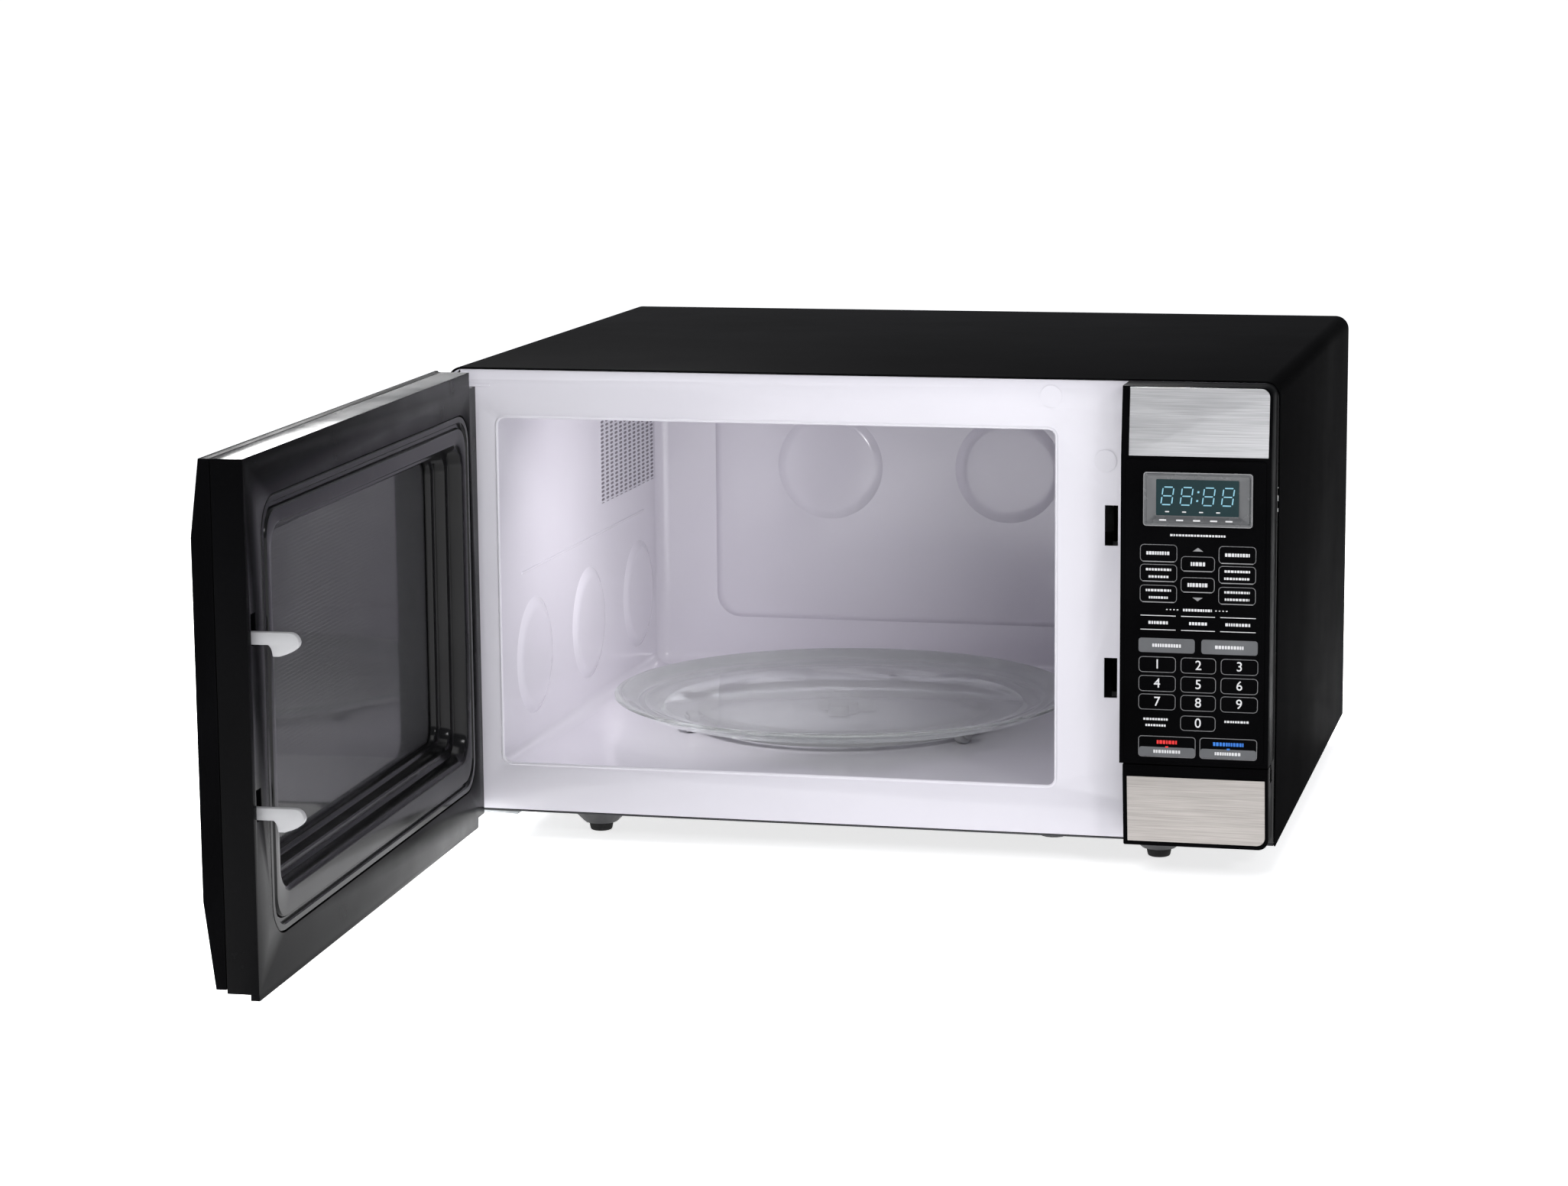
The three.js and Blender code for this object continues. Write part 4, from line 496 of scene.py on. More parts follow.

# %% [markdown]
# The display, the film behind the door's glass and the print on the keys are thin layers, so they differ only in
# tone and gloss. The coloured inks have a faint painted glow, so that they read as bright on black.

# %% Display, film and print
LIQUID_CRYSTAL = coated("display_glass", (0.01, 0.028, 0.032), (0.014, 0.036, 0.04), 0.08, 0.12, 20, 300, 0.0,
                        Specular_IOR_Level=0.1)
FILM = coated("inner_film", (0.07, 0.07, 0.074), (0.08, 0.08, 0.084), 0.04, 0.07, 6, 300, 0.0, Alpha=0.35)
KEY_LINE = coated("key_outline_print", (0.1, 0.1, 0.105), (0.16, 0.16, 0.165), 0.25, 0.35, 60, 900, 0.02)
KEY_GREY = coated("grey_key_print", (0.075, 0.078, 0.084), (0.1, 0.103, 0.11), 0.3, 0.4, 60, 900, 0.02)
BEZEL_GREY = coated("display_surround", (0.06, 0.062, 0.066), (0.085, 0.088, 0.092), 0.2, 0.3, 40, 900, 0.02,
                    Specular_IOR_Level=0.7)
# This grey serves the arrows and the display's fine edge, and it is also a painted highlight along the lower edge
# of the keys.
KEY_PRINT_AND_HIGHLIGHT = coated("key_print_and_painted_highlight", (0.2, 0.2, 0.205), (0.27, 0.27, 0.275), 0.3, 0.4, 60, 900, 0.02)
INK_WHITE = coated("white_ink", (0.62, 0.62, 0.63), (0.72, 0.72, 0.73), 0.4, 0.5, 90, 900, 0.0)
# The red and blue inks give off a little light: a painted glow, as printed ink is no lamp.
INK_RED = coated("red_ink", (0.62, 0.008, 0.008), (0.75, 0.015, 0.012), 0.4, 0.5, 90, 900, 0.0,
                 Emission_Color=(1, 0.02, 0.02, 1), Emission_Strength=0.15)
INK_BLUE = coated("blue_ink", (0.01, 0.13, 0.5), (0.015, 0.18, 0.62), 0.4, 0.5, 90, 900, 0.0,
                  Emission_Color=(0.02, 0.2, 0.9, 1), Emission_Strength=0.12)
LIT_BLUE = coated("lit_segments", (0.2, 0.45, 0.56), (0.24, 0.52, 0.64), 0.3, 0.4, 90, 900, 0.0,
                  Emission_Color=(0.3, 0.6, 0.75, 1), Emission_Strength=0.06)
print("finishes:", len(bpy.data.materials))

# %% [markdown]
# The front plate is turned black where the control panel covers it. This black is painted shade in the seams round
# the panel, so that no white shines through them. A second plate behind the first would do the same, but a change
# of tone at one place is simpler.

# %% Painted shade in the seams
SEAM_SHADE_BLACK = (0.003, 0.003, 0.003, 1)
SEAM_COVER = 3 * MM


def paint_seam_shade_beyond(material, x):
    """Turns a finish black to the right of a place, as painted shade in the seams where a moulding covers the
    sheet.
    """
    tree = material.node_tree
    shader = tree.nodes["Principled BSDF"]
    surface = shader.inputs["Base Color"].links[0].from_node
    place = add_node(tree, "TexCoord")
    split = add_node(tree, "SeparateXYZ")
    beyond = add_node(tree, "Math", "GREATER_THAN")
    beyond.inputs[1].default_value = x
    seam_shade = color_mix(tree)
    seam_shade.inputs["B"].default_value = SEAM_SHADE_BLACK
    wire(tree, (place, "Object", split, "Vector"), (split, "X", beyond, 0), (surface, "Result", seam_shade, "A"),
         (beyond, "Value", seam_shade, "Factor"), (seam_shade, "Result", shader, "Base Color"))


# Right of the panel's edge the plate is black: painted shade in the seams.
paint_seam_shade_beyond(PLATE_ENAMEL_WITH_SEAM_SHADE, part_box("control_panel_shell")[1].x - SEAM_COVER)
print("covered:", PLATE_ENAMEL_WITH_SEAM_SHADE.name)

# %% [markdown]
# A perforated sheet takes its holes from the hole grid. In the vent they are painted dark, as painted shade for
# the unlit space behind them, and in the door's screen they are see-through.

# %% Perforated sheet
SCREEN_PITCH = 2.2 * MM
VENT_PITCH = 2.8 * MM


def perforated(name, dark, light, pitch, wide, radius, turn, opening):
    """Sheet with a grid of holes. The opening is "clear" or the tone of the painted shade in the holes."""
    material = coated(name, dark, light, 0.3, 0.42, 14, 900, 0.03)
    tree = material.node_tree
    shader = tree.nodes["Principled BSDF"]
    holes = use_group(material, HOLE_GRID, Turn=turn, Pitch=pitch, Wide=wide, Radius=radius)
    if opening == "clear":
        solid = add_node(tree, "Math", "SUBTRACT")
        solid.inputs[0].default_value = 1
        wire(tree, (holes, "Mask", solid, 1), (solid, "Value", shader, "Alpha"))
    else:
        surface = shader.inputs["Base Color"].links[0].from_node
        hole_tone = color_mix(tree)
        hole_tone.inputs["B"].default_value = (*opening, 1)
        wire(tree, (holes, "Mask", hole_tone, "Factor"), (surface, "Result", hole_tone, "A"),
             (hole_tone, "Result", shader, "Base Color"))
    return material


SCREEN = perforated("door_screen_sheet", (0.085, 0.085, 0.09), (0.098, 0.098, 0.103), SCREEN_PITCH, 1, 0.26,
                    door_angle, "clear")
# The vent's holes are dark grey: painted shade for the unlit space behind them.
OUTLET = perforated("perforated_enamel", (0.7, 0.69, 0.74), (0.74, 0.73, 0.78), VENT_PITCH, 4, 0.33,
                    math.pi / 2, (0.16, 0.14, 0.17))
print("perforated:", SCREEN.name, OUTLET.name)

# %% [markdown]
# Each node of the frame names a slot, and one table gives each slot its finish. Three nodes then get
# something more exact, and the floor gets a white that glows a little, to melt into the background.

# %% Finishes on the frame's nodes
FINISH_OF_SLOT = {
    "black_paint": PAINT, "white_enamel": ENAMEL, "galvanised_steel": ZINC, "brushed_steel": STEEL,
    "black_plastic": SATIN_BLACK, "white_plastic": WHITE_PLASTIC, "rubber": RUBBER,
    "clear_glass": CLEAR_GLASS, "dark_glass": SMOKED_GLASS, "mica": MICA, "copper": COPPER,
    "laminated_steel": LAMINATED, "circuit_board": CIRCUIT, "display_glass": LIQUID_CRYSTAL,
    "winding_tape": TAPE,
}
FLOOR_WHITE = coated("studio_floor_white", (0.93, 0.93, 0.94), (0.95, 0.95, 0.955), 0.7, 0.8, 0.5, 20, 0.0,
                     Emission_Color=(1, 1, 1, 1), Emission_Strength=0.72)
floor.data.materials.append(FLOOR_WHITE)
for name, node in nodes.items():
    node.data.materials.clear()
    node.data.materials.append(FINISH_OF_SLOT[slot_of[name]])
nodes["door_screen"].data.materials[0] = SCREEN
nodes["keypad_overlay"].data.materials[0] = SATIN_BLACK
nodes["inner_film"].data.materials[0] = FILM
print("slots with a finish:", len(FINISH_OF_SLOT))

# %% [markdown]
# ## Making pieces
# Three ways of making a piece cover the whole oven. A sheet or moulding whose outline the frame already
# has is a merged copy of its node, given rounded edges, because bare edges catch no light. Pressed and
# moulded shapes are lofts: rounded rectangles joined one to the next. Round pieces are spun. All end up
# as an object at the origin, whose place is in its mesh.

# %% Placing a piece


def added(bm, start):
    """The vertices that came after a set of earlier ones."""
    return [vert for vert in bm.verts if vert not in start]


def round_off(bm, geom, width, segments, affect="EDGES"):
    """Rounds edges, or corners when it affects vertices."""
    bmesh.ops.bevel(bm, geom=geom, offset=width, segments=segments, profile=0.5, affect=affect, material=-1,
                    clamp_overlap=True)


def box_between(bm, low, high):
    """A box from its lowest corner to its highest."""
    size = [b - a for a, b in zip(low, high)]
    middle = [(a + b) / 2 for a, b in zip(low, high)]
    bmesh.ops.create_cube(bm, size=1, matrix=Matrix.Translation(middle) @ Matrix.Diagonal((*size, 1)))


def place_piece(bm, name, body, material, turn=None, smooth=35, replaces=()):
    """Turns a bmesh into an object at the origin that rides on a body."""
    if turn is not None:
        bmesh.ops.transform(bm, matrix=turn, verts=bm.verts)
    mesh = bpy.data.meshes.new(name)
    bm.to_mesh(mesh)
    bm.free()
    mesh.shade_smooth()
    mesh.set_sharp_from_angle(angle=math.radians(smooth))
    mesh.materials.append(material)
    piece = bpy.data.objects.new(name, mesh)
    scene.collection.objects.link(piece)
    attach(piece, body)
    if replaces:
        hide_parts(*replaces)
    print(name, len(mesh.polygons), "faces")
    return piece


# %% [markdown]
# The frame's nodes are loose triangles with knife-sharp edges. A copy is merged, its flat faces are
# joined, and its outer edges are rounded. Inner edges stay sharp, because rounding would fill them and
# touch the neighbour that sits there.

# %% Rounded copies
SHARP_ANGLE = 30
FLAT_ANGLE = 1
MERGE_DISTANCE = 0.01 * MM


def rounded_copy(node, material, width):
    """A merged copy of a node with rounded edges. It stands for the node."""
    bm = bmesh.new()
    bm.from_mesh(nodes[node].data)
    bmesh.ops.remove_doubles(bm, verts=bm.verts, dist=MERGE_DISTANCE)
    bmesh.ops.dissolve_limit(bm, angle_limit=math.radians(FLAT_ANGLE), verts=bm.verts, edges=bm.edges)
    edges = [edge for edge in bm.edges if len(edge.link_faces) == 2 and edge.is_convex
             and edge.calc_face_angle(0) > math.radians(SHARP_ANGLE)]
    round_off(bm, edges, width * MM, 2)
    bmesh.ops.recalc_face_normals(bm, faces=bm.faces)
    place_piece(bm, node + "_finished", body_of[node], material, replaces=(node,))


# %% [markdown]
# A loft starts from upright rounded rectangles. Each is a square grid of one face, stretched, stood up and
# rounded at its corners, of which only the edges stay. Bridges between them make the walls.

# %% Lofts
NUDGE = 0.004


def outline(bm, left, right, low, high, radius, y, segments=6):
    """The edges of one upright rounded rectangle that faces the front, in millimetres."""
    before = set(bm.verts)
    grid = bmesh.ops.create_grid(bm, x_segments=1, y_segments=1, size=0.5)
    size = Matrix.Diagonal((right - left, high - low, 1, 1))
    stand = Matrix.Rotation(math.pi / 2, 4, "X")
    middle = Matrix.Translation(((left + right) / 2, y, (low + high) / 2))
    bmesh.ops.transform(bm, matrix=middle @ stand @ size, verts=grid["verts"])
    if radius > 0:
        round_off(bm, grid["verts"], radius, segments, affect="VERTICES")
    face = added(bm, before)[0].link_faces[0]
    edges = list(face.edges)
    bmesh.ops.delete(bm, geom=[face], context="FACES_ONLY")
    return edges


def loft(bm, rings, closed=True, segments=6, cap_last=False):
    """Joins rounded rectangles one to the next. Each ring is (left, right, low, high, radius, y).

    A bridge between two rings in one plane can twist, so each ring is nudged back a little from the last.
    """
    loops = [outline(bm, *ring[:5], ring[5] + NUDGE * index, segments=segments)
             for index, ring in enumerate(rings)]
    pairs = list(zip(loops, loops[1:]))
    if closed:
        pairs.append((loops[-1], loops[0]))
    for first, second in pairs:
        bmesh.ops.bridge_loops(bm, edges=first + second)
    if cap_last:
        bmesh.ops.contextual_create(bm, geom=loops[-1])


# %% [markdown]
# Round pieces are spun from half of their section. The points on the axis give poles, which are merged,
# and the faces are turned outwards, because a spin may leave them inside out.

# %% Spun pieces
POLE_DISTANCE = 0.0005


def spin_profile(bm, profile, steps):
    """Spins (radius, height) points, from axis to axis, about the upright axis."""
    start = set(bm.verts)
    verts = [bm.verts.new((radius, 0, height)) for radius, height in profile]
    edges = [bm.edges.new(pair) for pair in zip(verts, verts[1:])]
    bmesh.ops.spin(bm, geom=verts + edges, cent=(0, 0, 0), axis=(0, 0, 1), angle=2 * math.pi, steps=steps,
                   use_merge=True)
    bmesh.ops.remove_doubles(bm, verts=added(bm, start), dist=POLE_DISTANCE)
    faces = [face for face in bm.faces if face.verts[0] not in start]
    bmesh.ops.recalc_face_normals(bm, faces=faces)


# %% [markdown]
# ## Casing
# The wrap is one painted sheet folded over the top and both sides. A box without its front, back and
# bottom has the right faces. Its two long top edges are rounded like a press-brake fold, and the sheet
# gets its gauge by thickening the shell inwards. The front rim is a rolled hem, so its edge is rounded.

# %% The outer wrap
FOLD_RADIUS = 9 * MM
GAUGE = 1 * MM
HEM_RADIUS = 0.42 * MM


def outer_wrap():
    bm = bmesh.new()
    box_between(bm, wrap_low, wrap_high)
    open_sides = [face for face in bm.faces if abs(face.normal.x) < 0.5 and face.normal.z < 0.5]
    bmesh.ops.delete(bm, geom=open_sides, context="FACES")
    folds = [edge for edge in bm.edges if len(edge.link_faces) == 2]
    round_off(bm, folds, FOLD_RADIUS, 10)
    bmesh.ops.solidify(bm, geom=bm.faces[:], thickness=GAUGE)
    rims = [edge for edge in bm.edges if edge.calc_face_angle(0) > math.radians(60)]
    round_off(bm, rims, HEM_RADIUS, 3)
    place_piece(bm, "wrap", "cabinet", PAINT, replaces=("outer_wrap",))


outer_wrap()

# %% [markdown]
# The front plate, the base, the rear panel, the hinges and the mouldings keep the outlines of the frame.
# Each could be modelled again, but a rounded copy keeps every slot and seat where its neighbours expect
# it. The number is the rounding in millimetres.

# %% Pieces with rounded edges
rounded_copy("front_plate", PLATE_ENAMEL_WITH_SEAM_SHADE, 0.3)
# The base's near-black finish is painted shade.
rounded_copy("base_plate", BASE_PAINTED_SHADE, 0.2)
rounded_copy("rear_panel", PAINT, 0.25)
for node in ["hinge_upper", "hinge_lower"]:
    rounded_copy(node, ZINC, 0.3)
for node in ["cord_inlet_bush", "control_panel_shell", "release_button", "door_frame", "door_bezel"]:
    rounded_copy(node, GLOSS_BLACK if node == "door_frame" else SATIN_BLACK, 0.5)
# The release button's cap is the lower cap, and its warmer tint is a painted reflection.
for node, steel in [("panel_cap_top", STEEL), ("release_button_cap", REFLECTION_TINTED_STEEL)]:
    rounded_copy(node, steel, 0.25)
for node in ["door_trim_top", "door_trim_bottom"]:
    rounded_copy(node, DOOR_STEEL, 0.25)
for node in ["roller_ring", "roller_1", "roller_2", "roller_3", "turntable_coupler", "latch_key"]:
    rounded_copy(node, WHITE_PLASTIC, 0.4)
rounded_copy("door_outer_pane", SMOKED_GLASS, 0.4)

# %% [markdown]
# ## Oven cavity
# The cavity is one enamelled sheet bent round the floor, the back and the ceiling, with a wall welded on
# at each side. A cube without its front, rounded along its inside bends and thickened outwards, has that
# form. Round dimples and a raised field are pressed into the walls to stiffen them, so they are lofted or
# spun with soft shoulders. The air outlet in the left wall is a field of tiny holes, drawn by a mask.

# %% The cavity
CAVITY_LOW = (27, 1.6, 26)
CAVITY_HIGH = (386, 380, 255)
LEFT_WALL = CAVITY_LOW[0]
BACK_WALL = CAVITY_HIGH[1]
BEND = 9
WALL = 1
SUNK = 0.1
SIDE_DIMPLES = [(LEFT_WALL - SUNK, y, 85) for y in (81, 203, 325)]
BACK_DIMPLES = [(x, BACK_WALL - 2.7, 172) for x in (155, 283)]
RAISED_FIELD = [
    (70.5, 377, 61, 246, 17, 381), (70.5, 377, 61, 246, 17, 379.9),
    (71.2, 376.3, 61.7, 245.3, 16.6, 379.2), (72.6, 374.9, 63, 244, 16, 378.1),
    (74, 373.6, 64.4, 242.7, 15, 377.5), (76, 371.8, 66.4, 241, 14, 377.2),
]
SEAM_RIB = [(56, 342, 141, 143, 0.8, 0), (56.6, 341.4, 141.5, 142.5, 0.4, 0.7)]
FACING_RIGHT = Matrix(((0, 1, 0, 0), (1, 0, 0, 0), (0, 0, 1, 0), (0, 0, 0, 1)))


def dimple(bm, center, turn, radius=38, height=2.4):
    """A shallow round dimple. Its own axis is +Z before the turn."""
    start = set(bm.verts)
    profile = [(0, height), (radius - 9, height), (radius - 6.5, height - 0.15), (radius - 4, height * 0.7),
               (radius - 2, height * 0.28), (radius, 0.02), (radius + 0.4, -0.3)]
    spin_profile(bm, profile, steps=64)
    bmesh.ops.transform(bm, matrix=Matrix.Translation(center) @ turn, verts=added(bm, start))


def cavity():
    bm = bmesh.new()
    box_between(bm, CAVITY_LOW, CAVITY_HIGH)
    bmesh.ops.delete(bm, geom=[face for face in bm.faces if face.normal.y < -0.5], context="FACES")
    bends = [edge for edge in bm.edges if len(edge.link_faces) == 2]
    round_off(bm, bends, BEND, 8)
    bmesh.ops.recalc_face_normals(bm, faces=bm.faces)
    bmesh.ops.solidify(bm, geom=bm.faces[:], thickness=-WALL)
    bmesh.ops.recalc_face_normals(bm, faces=bm.faces)
    for center in SIDE_DIMPLES:
        dimple(bm, center, Matrix.Rotation(math.pi / 2, 4, "Y"))
    for center in BACK_DIMPLES:
        dimple(bm, center, Matrix.Rotation(math.pi / 2, 4, "X"), height=2.2)
    loft(bm, RAISED_FIELD, closed=False, cap_last=True)
    start = set(bm.verts)
    loft(bm, SEAM_RIB, closed=False, cap_last=True)
    on_left_wall = Matrix.Translation((LEFT_WALL - SUNK, 0, 0)) @ FACING_RIGHT
    bmesh.ops.transform(bm, matrix=on_left_wall, verts=added(bm, start))
    bmesh.ops.recalc_face_normals(bm, faces=bm.faces)
    place_piece(bm, "cavity_shell", "cabinet", ENAMEL, turn=CABINET, smooth=40,
                replaces=("oven_cavity",))


cavity()

# %% [markdown]
# The air outlet is a thin tile on the left wall. It carries the perforated finish, so the enamel round it
# stays plain.

# %% The air outlet
VENT = (237, 371, 161, 238)


def air_outlet():
    bm = bmesh.new()
    loft(bm, [(*VENT, 3, -0.2), (*VENT, 3, 0.12)], closed=False, cap_last=True)
    on_left_wall = Matrix.Translation((LEFT_WALL, 0, 0)) @ FACING_RIGHT
    bmesh.ops.transform(bm, matrix=on_left_wall, verts=bm.verts)
    bmesh.ops.recalc_face_normals(bm, faces=bm.faces)
    place_piece(bm, "air_outlet", "cabinet", OUTLET, turn=CABINET)


air_outlet()

# %% [markdown]
# The edge of the cavity's mouth is rolled, so that it doesn't cut a hand. It is a thin rounded lip.

# %% The mouth's lip
MOUTH_LIP = [(29.4, 382.6, 29.4, 250.6, 6.4, 0.4), (29.9, 382.1, 29.9, 250.1, 6, -0.35),
             (30.5, 381.5, 30.5, 249.5, 5.5, -0.6), (31.2, 380.8, 31.2, 248.8, 4.9, -0.35),
             (31.5, 380.5, 31.5, 248.5, 4.6, 0.3), (31.5, 380.5, 31.5, 248.5, 4.6, 1.5),
             (30.9, 381.1, 30.9, 249.1, 5.1, 1.5)]


def mouth_lip():
    bm = bmesh.new()
    loft(bm, MOUTH_LIP, segments=8)
    bmesh.ops.recalc_face_normals(bm, faces=bm.faces)
    place_piece(bm, "mouth_lip", "cabinet", ENAMEL, turn=CABINET, smooth=60)


mouth_lip()

# %% [markdown]
# The front plate carries two small pressed dimples and a short rib by the upper hinge. They are too small
# to be worth cutting into the plate, so they sit on it.

# %% Marks in the front plate
PLATE_DIMPLES = [(378, 268.6), (411, 230.5)]
HINGE_RIB = [(7, 27, 267.9, 269.5, 0.7, 0.1), (7.3, 26.7, 268.2, 269.2, 0.4, -0.5)]


def plate_marks():
    bm = bmesh.new()
    for x, z in PLATE_DIMPLES:
        dimple(bm, (x, 0.1, z), Matrix.Rotation(math.pi / 2, 4, "X"), radius=2.3, height=0.5)
    loft(bm, HINGE_RIB, closed=False, cap_last=True)
    bmesh.ops.recalc_face_normals(bm, faces=bm.faces)
    place_piece(bm, "plate_marks", "cabinet", ENAMEL, turn=CABINET)


plate_marks()

# %% [markdown]
# ## Turntable
# The plate is pressed glass: a flat bottom, a turned-up rim with a rounded lip and fine rings that
# stiffen it. Its section is one outline from axis to axis, spun about the spindle. It casts no shadow,
# because the renderer would darken the floor under it as if the glass were solid.

# %% The glass plate
TABLE_CENTER = (206.5, 190, 0)
PLATE_SECTION = [
    (0, 41.7), (60, 41.7), (100, 41.7), (122, 41.7), (129, 42), (131, 43), (133, 43.2), (135, 42.9),
    (138, 43.6), (141, 45), (144, 46.7), (147, 48), (149.4, 48.6), (151, 48.6), (152, 47.9), (152, 46.9),
    (150.6, 45.9), (147, 44.2), (143, 42.1), (139, 40.3), (135, 39.2), (131, 38.8), (120, 38.8),
    (119, 38.2), (118, 38.8), (0, 38.8),
]


def plate():
    bm = bmesh.new()
    spin_profile(bm, PLATE_SECTION, steps=128)
    bmesh.ops.translate(bm, vec=TABLE_CENTER, verts=bm.verts)
    piece = place_piece(bm, "turntable_plate", "table", CLEAR_GLASS, turn=CABINET, smooth=50,
                        replaces=("glass_turntable",))
    piece.visible_shadow = False


plate()

# %% [markdown]
# ## Door inside
# The cover inside the door is one moulding: a flat land with a groove round it, then a stepped funnel
# down to the window. Each step is a rounded rectangle a little smaller and deeper than the last.

# %% The choke cover
COVER_RINGS = [
    (18.2, 397.8, 21.2, 254.8, 19, -3.6), (18.2, 397.8, 21.2, 254.8, 19, -1.7),
    (18.7, 397.3, 21.7, 254.3, 18.5, -1.25), (21.5, 394.5, 24.5, 251.5, 17, -1.2),
    (22.1, 393.9, 25.1, 250.9, 16.6, -1.8), (22.6, 393.4, 25.6, 250.4, 16.2, -3.3),
    (24.6, 391.4, 27.6, 248.4, 15.2, -3.3), (25.2, 390.8, 28.2, 247.8, 14.8, -1.8),
    (25.8, 390.2, 28.8, 247.2, 14.4, -1.2), (31.5, 384.5, 40.5, 240.5, 15.5, -1.2),
    (33.2, 382.8, 42.2, 238.8, 15.2, -1.7), (34.2, 381.8, 43.4, 237.8, 15, -3),
    (35.2, 380.6, 45, 236.6, 14.6, -9.6), (36.2, 379.6, 46.4, 235.4, 14.2, -10.6),
    (38.4, 377.6, 49.4, 232.8, 13, -11), (39.2, 376.8, 50.4, 232, 12.6, -12),
    (40, 376, 51.4, 231.2, 12.2, -17.2), (41, 375.2, 52.4, 230.4, 11.6, -18.2),
    (43, 373.6, 54, 229, 10.6, -18.6), (43.6, 373, 54.6, 228.4, 10, -19.4), (44, 372.6, 55, 228, 9.6, -22.4),
    (34.5, 379.3, 46.5, 235.5, 14, -22.4), (33.6, 382, 42.8, 238.6, 15.2, -3.6),
]


def cover():
    bm = bmesh.new()
    loft(bm, COVER_RINGS, segments=10)
    bmesh.ops.recalc_face_normals(bm, faces=bm.faces)
    place_piece(bm, "door_cover", "door", GLOSS_COVER, turn=OPEN_DOOR @ CABINET,
                replaces=("choke_cover",))


cover()

# %% [markdown]
# ## Control panel
# The panel's face is a printed membrane. The keys' places are a small table of columns and rows, in
# millimetres from the membrane's lower left corner, so that one change moves a whole column.

# %% Places of the keys
FACE = -31.2
KEYPAD = (427.9, 55.9)
LEFT_COLUMN = (8.8, 30.8)
MIDDLE_COLUMN = (33, 53)
RIGHT_COLUMN = (55.2, 77.2)
MENU_ROWS = [(119.6, 130.1), (107.8, 118.3), (95.4, 105.9)]
ARROW_ROWS = [(114.4, 123.5), (101.9, 111.0)]
DIGIT_COLUMNS = [(8.4, 30.5), (33.4, 54.3), (57.1, 79.1)]
DIGIT_ROWS = [(53.5, 63.0), (42.0, 51.6), (31.0, 40.5)]
ZERO_ROW = (19.0, 28.1)
MENU_KEYS = [(*side, *row) for row in MENU_ROWS for side in (LEFT_COLUMN, RIGHT_COLUMN)]
ARROW_KEYS = [(*MIDDLE_COLUMN, *row) for row in ARROW_ROWS]
DIGIT_KEYS = [(*column, *row) for row in DIGIT_ROWS for column in DIGIT_COLUMNS]
DIGIT_KEYS.append((*DIGIT_COLUMNS[1], *ZERO_ROW))
GREY_KEYS = [(8.3, 41.6, 65.5, 74.1), (45.5, 78.7, 65.5, 74.1)]
START_KEYS = [(8.5, 42.6, 2.5, 15.2), (45, 79, 2.5, 15.2)]


def on_pad(left, right, low, high):
    """A rectangle on the membrane, in the cabinet's coordinates."""
    return KEYPAD[0] + left, KEYPAD[0] + right, KEYPAD[1] + low, KEYPAD[1] + high


print("keys:", len(MENU_KEYS + ARROW_KEYS + DIGIT_KEYS + GREY_KEYS + START_KEYS))

# %% [markdown]
# A key's outline is a hoop: four rounded rectangles in a row, two outside and two inside, closed to
# themselves. Print and key tops are tiles: two rectangles with a closed face. Both stand proud by a
# fraction of a millimetre, as the print of a membrane does.

# %% Key outlines


def inset(rectangle, by):
    """A rectangle (left, right, low, high), made smaller on every side."""
    left, right, low, high = rectangle
    return left + by, right - by, low + by, high - by


def hoop(bm, left, right, low, high, radius, width, proud, face=FACE):
    """A thin raised outline round a key."""
    outer = (left, right, low, high, radius)
    inner = (*inset(outer[:4], width), max(radius - width, 0.2))
    loft(bm, [(*outer, face + 0.1), (*outer, face - proud), (*inner, face - proud), (*inner, face + 0.1)],
         segments=4)


def tile(bm, left, right, low, high, radius, proud, face=FACE, segments=3):
    """A thin flat tile with a closed face."""
    outer = (left, right, low, high, radius)
    loft(bm, [(*outer, face + 0.05), (*outer, face - proud)], closed=False, cap_last=True, segments=segments)


def panel_piece(bm, name, material):
    """Places a piece that rides on the cabinet's front."""
    bmesh.ops.recalc_face_normals(bm, faces=bm.faces)
    place_piece(bm, name, "cabinet", material, turn=CABINET)


outlines = bmesh.new()
for key in MENU_KEYS + ARROW_KEYS + DIGIT_KEYS:
    hoop(outlines, *on_pad(*key), 2.4, 0.38, 0.16)
for key in START_KEYS:
    hoop(outlines, *on_pad(*key), 2.0, 0.4, 0.16)
panel_piece(outlines, "key_outlines", KEY_LINE)

# %% [markdown]
# The menu keys have a painted highlight along their lower edge: a light line where light from above would catch
# the key's raised rim. Four keys are grey.

# %% Painted highlights and grey keys
HIGHLIGHT_END = 1.6
HIGHLIGHT_HEIGHT = 0.55

key_highlights = bmesh.new()
# Each light strip is a painted highlight on a key's lower rim.
for left, right, low, high in MENU_KEYS + ARROW_KEYS:
    tile(key_highlights, *on_pad(left + HIGHLIGHT_END, right - HIGHLIGHT_END, low, low + HIGHLIGHT_HEIGHT), 0.2, 0.2)
panel_piece(key_highlights, "key_painted_highlights", KEY_PRINT_AND_HIGHLIGHT)

greys = bmesh.new()
for key in GREY_KEYS:
    tile(greys, *on_pad(*key), 1.6, 0.18)
for left, right, low, high in START_KEYS:
    tile(greys, *on_pad(left + 0.5, right - 0.5, low + 0.5, (low + high) / 2 - 0.3), 1.4, 0.14)
panel_piece(greys, "grey_keys", KEY_GREY)

# %% [markdown]
# Labels are rows of short bars with small gaps, as unreadable as print seen from across a room. They
# vary in length but always in the same way, because the random numbers start from a fixed seed.

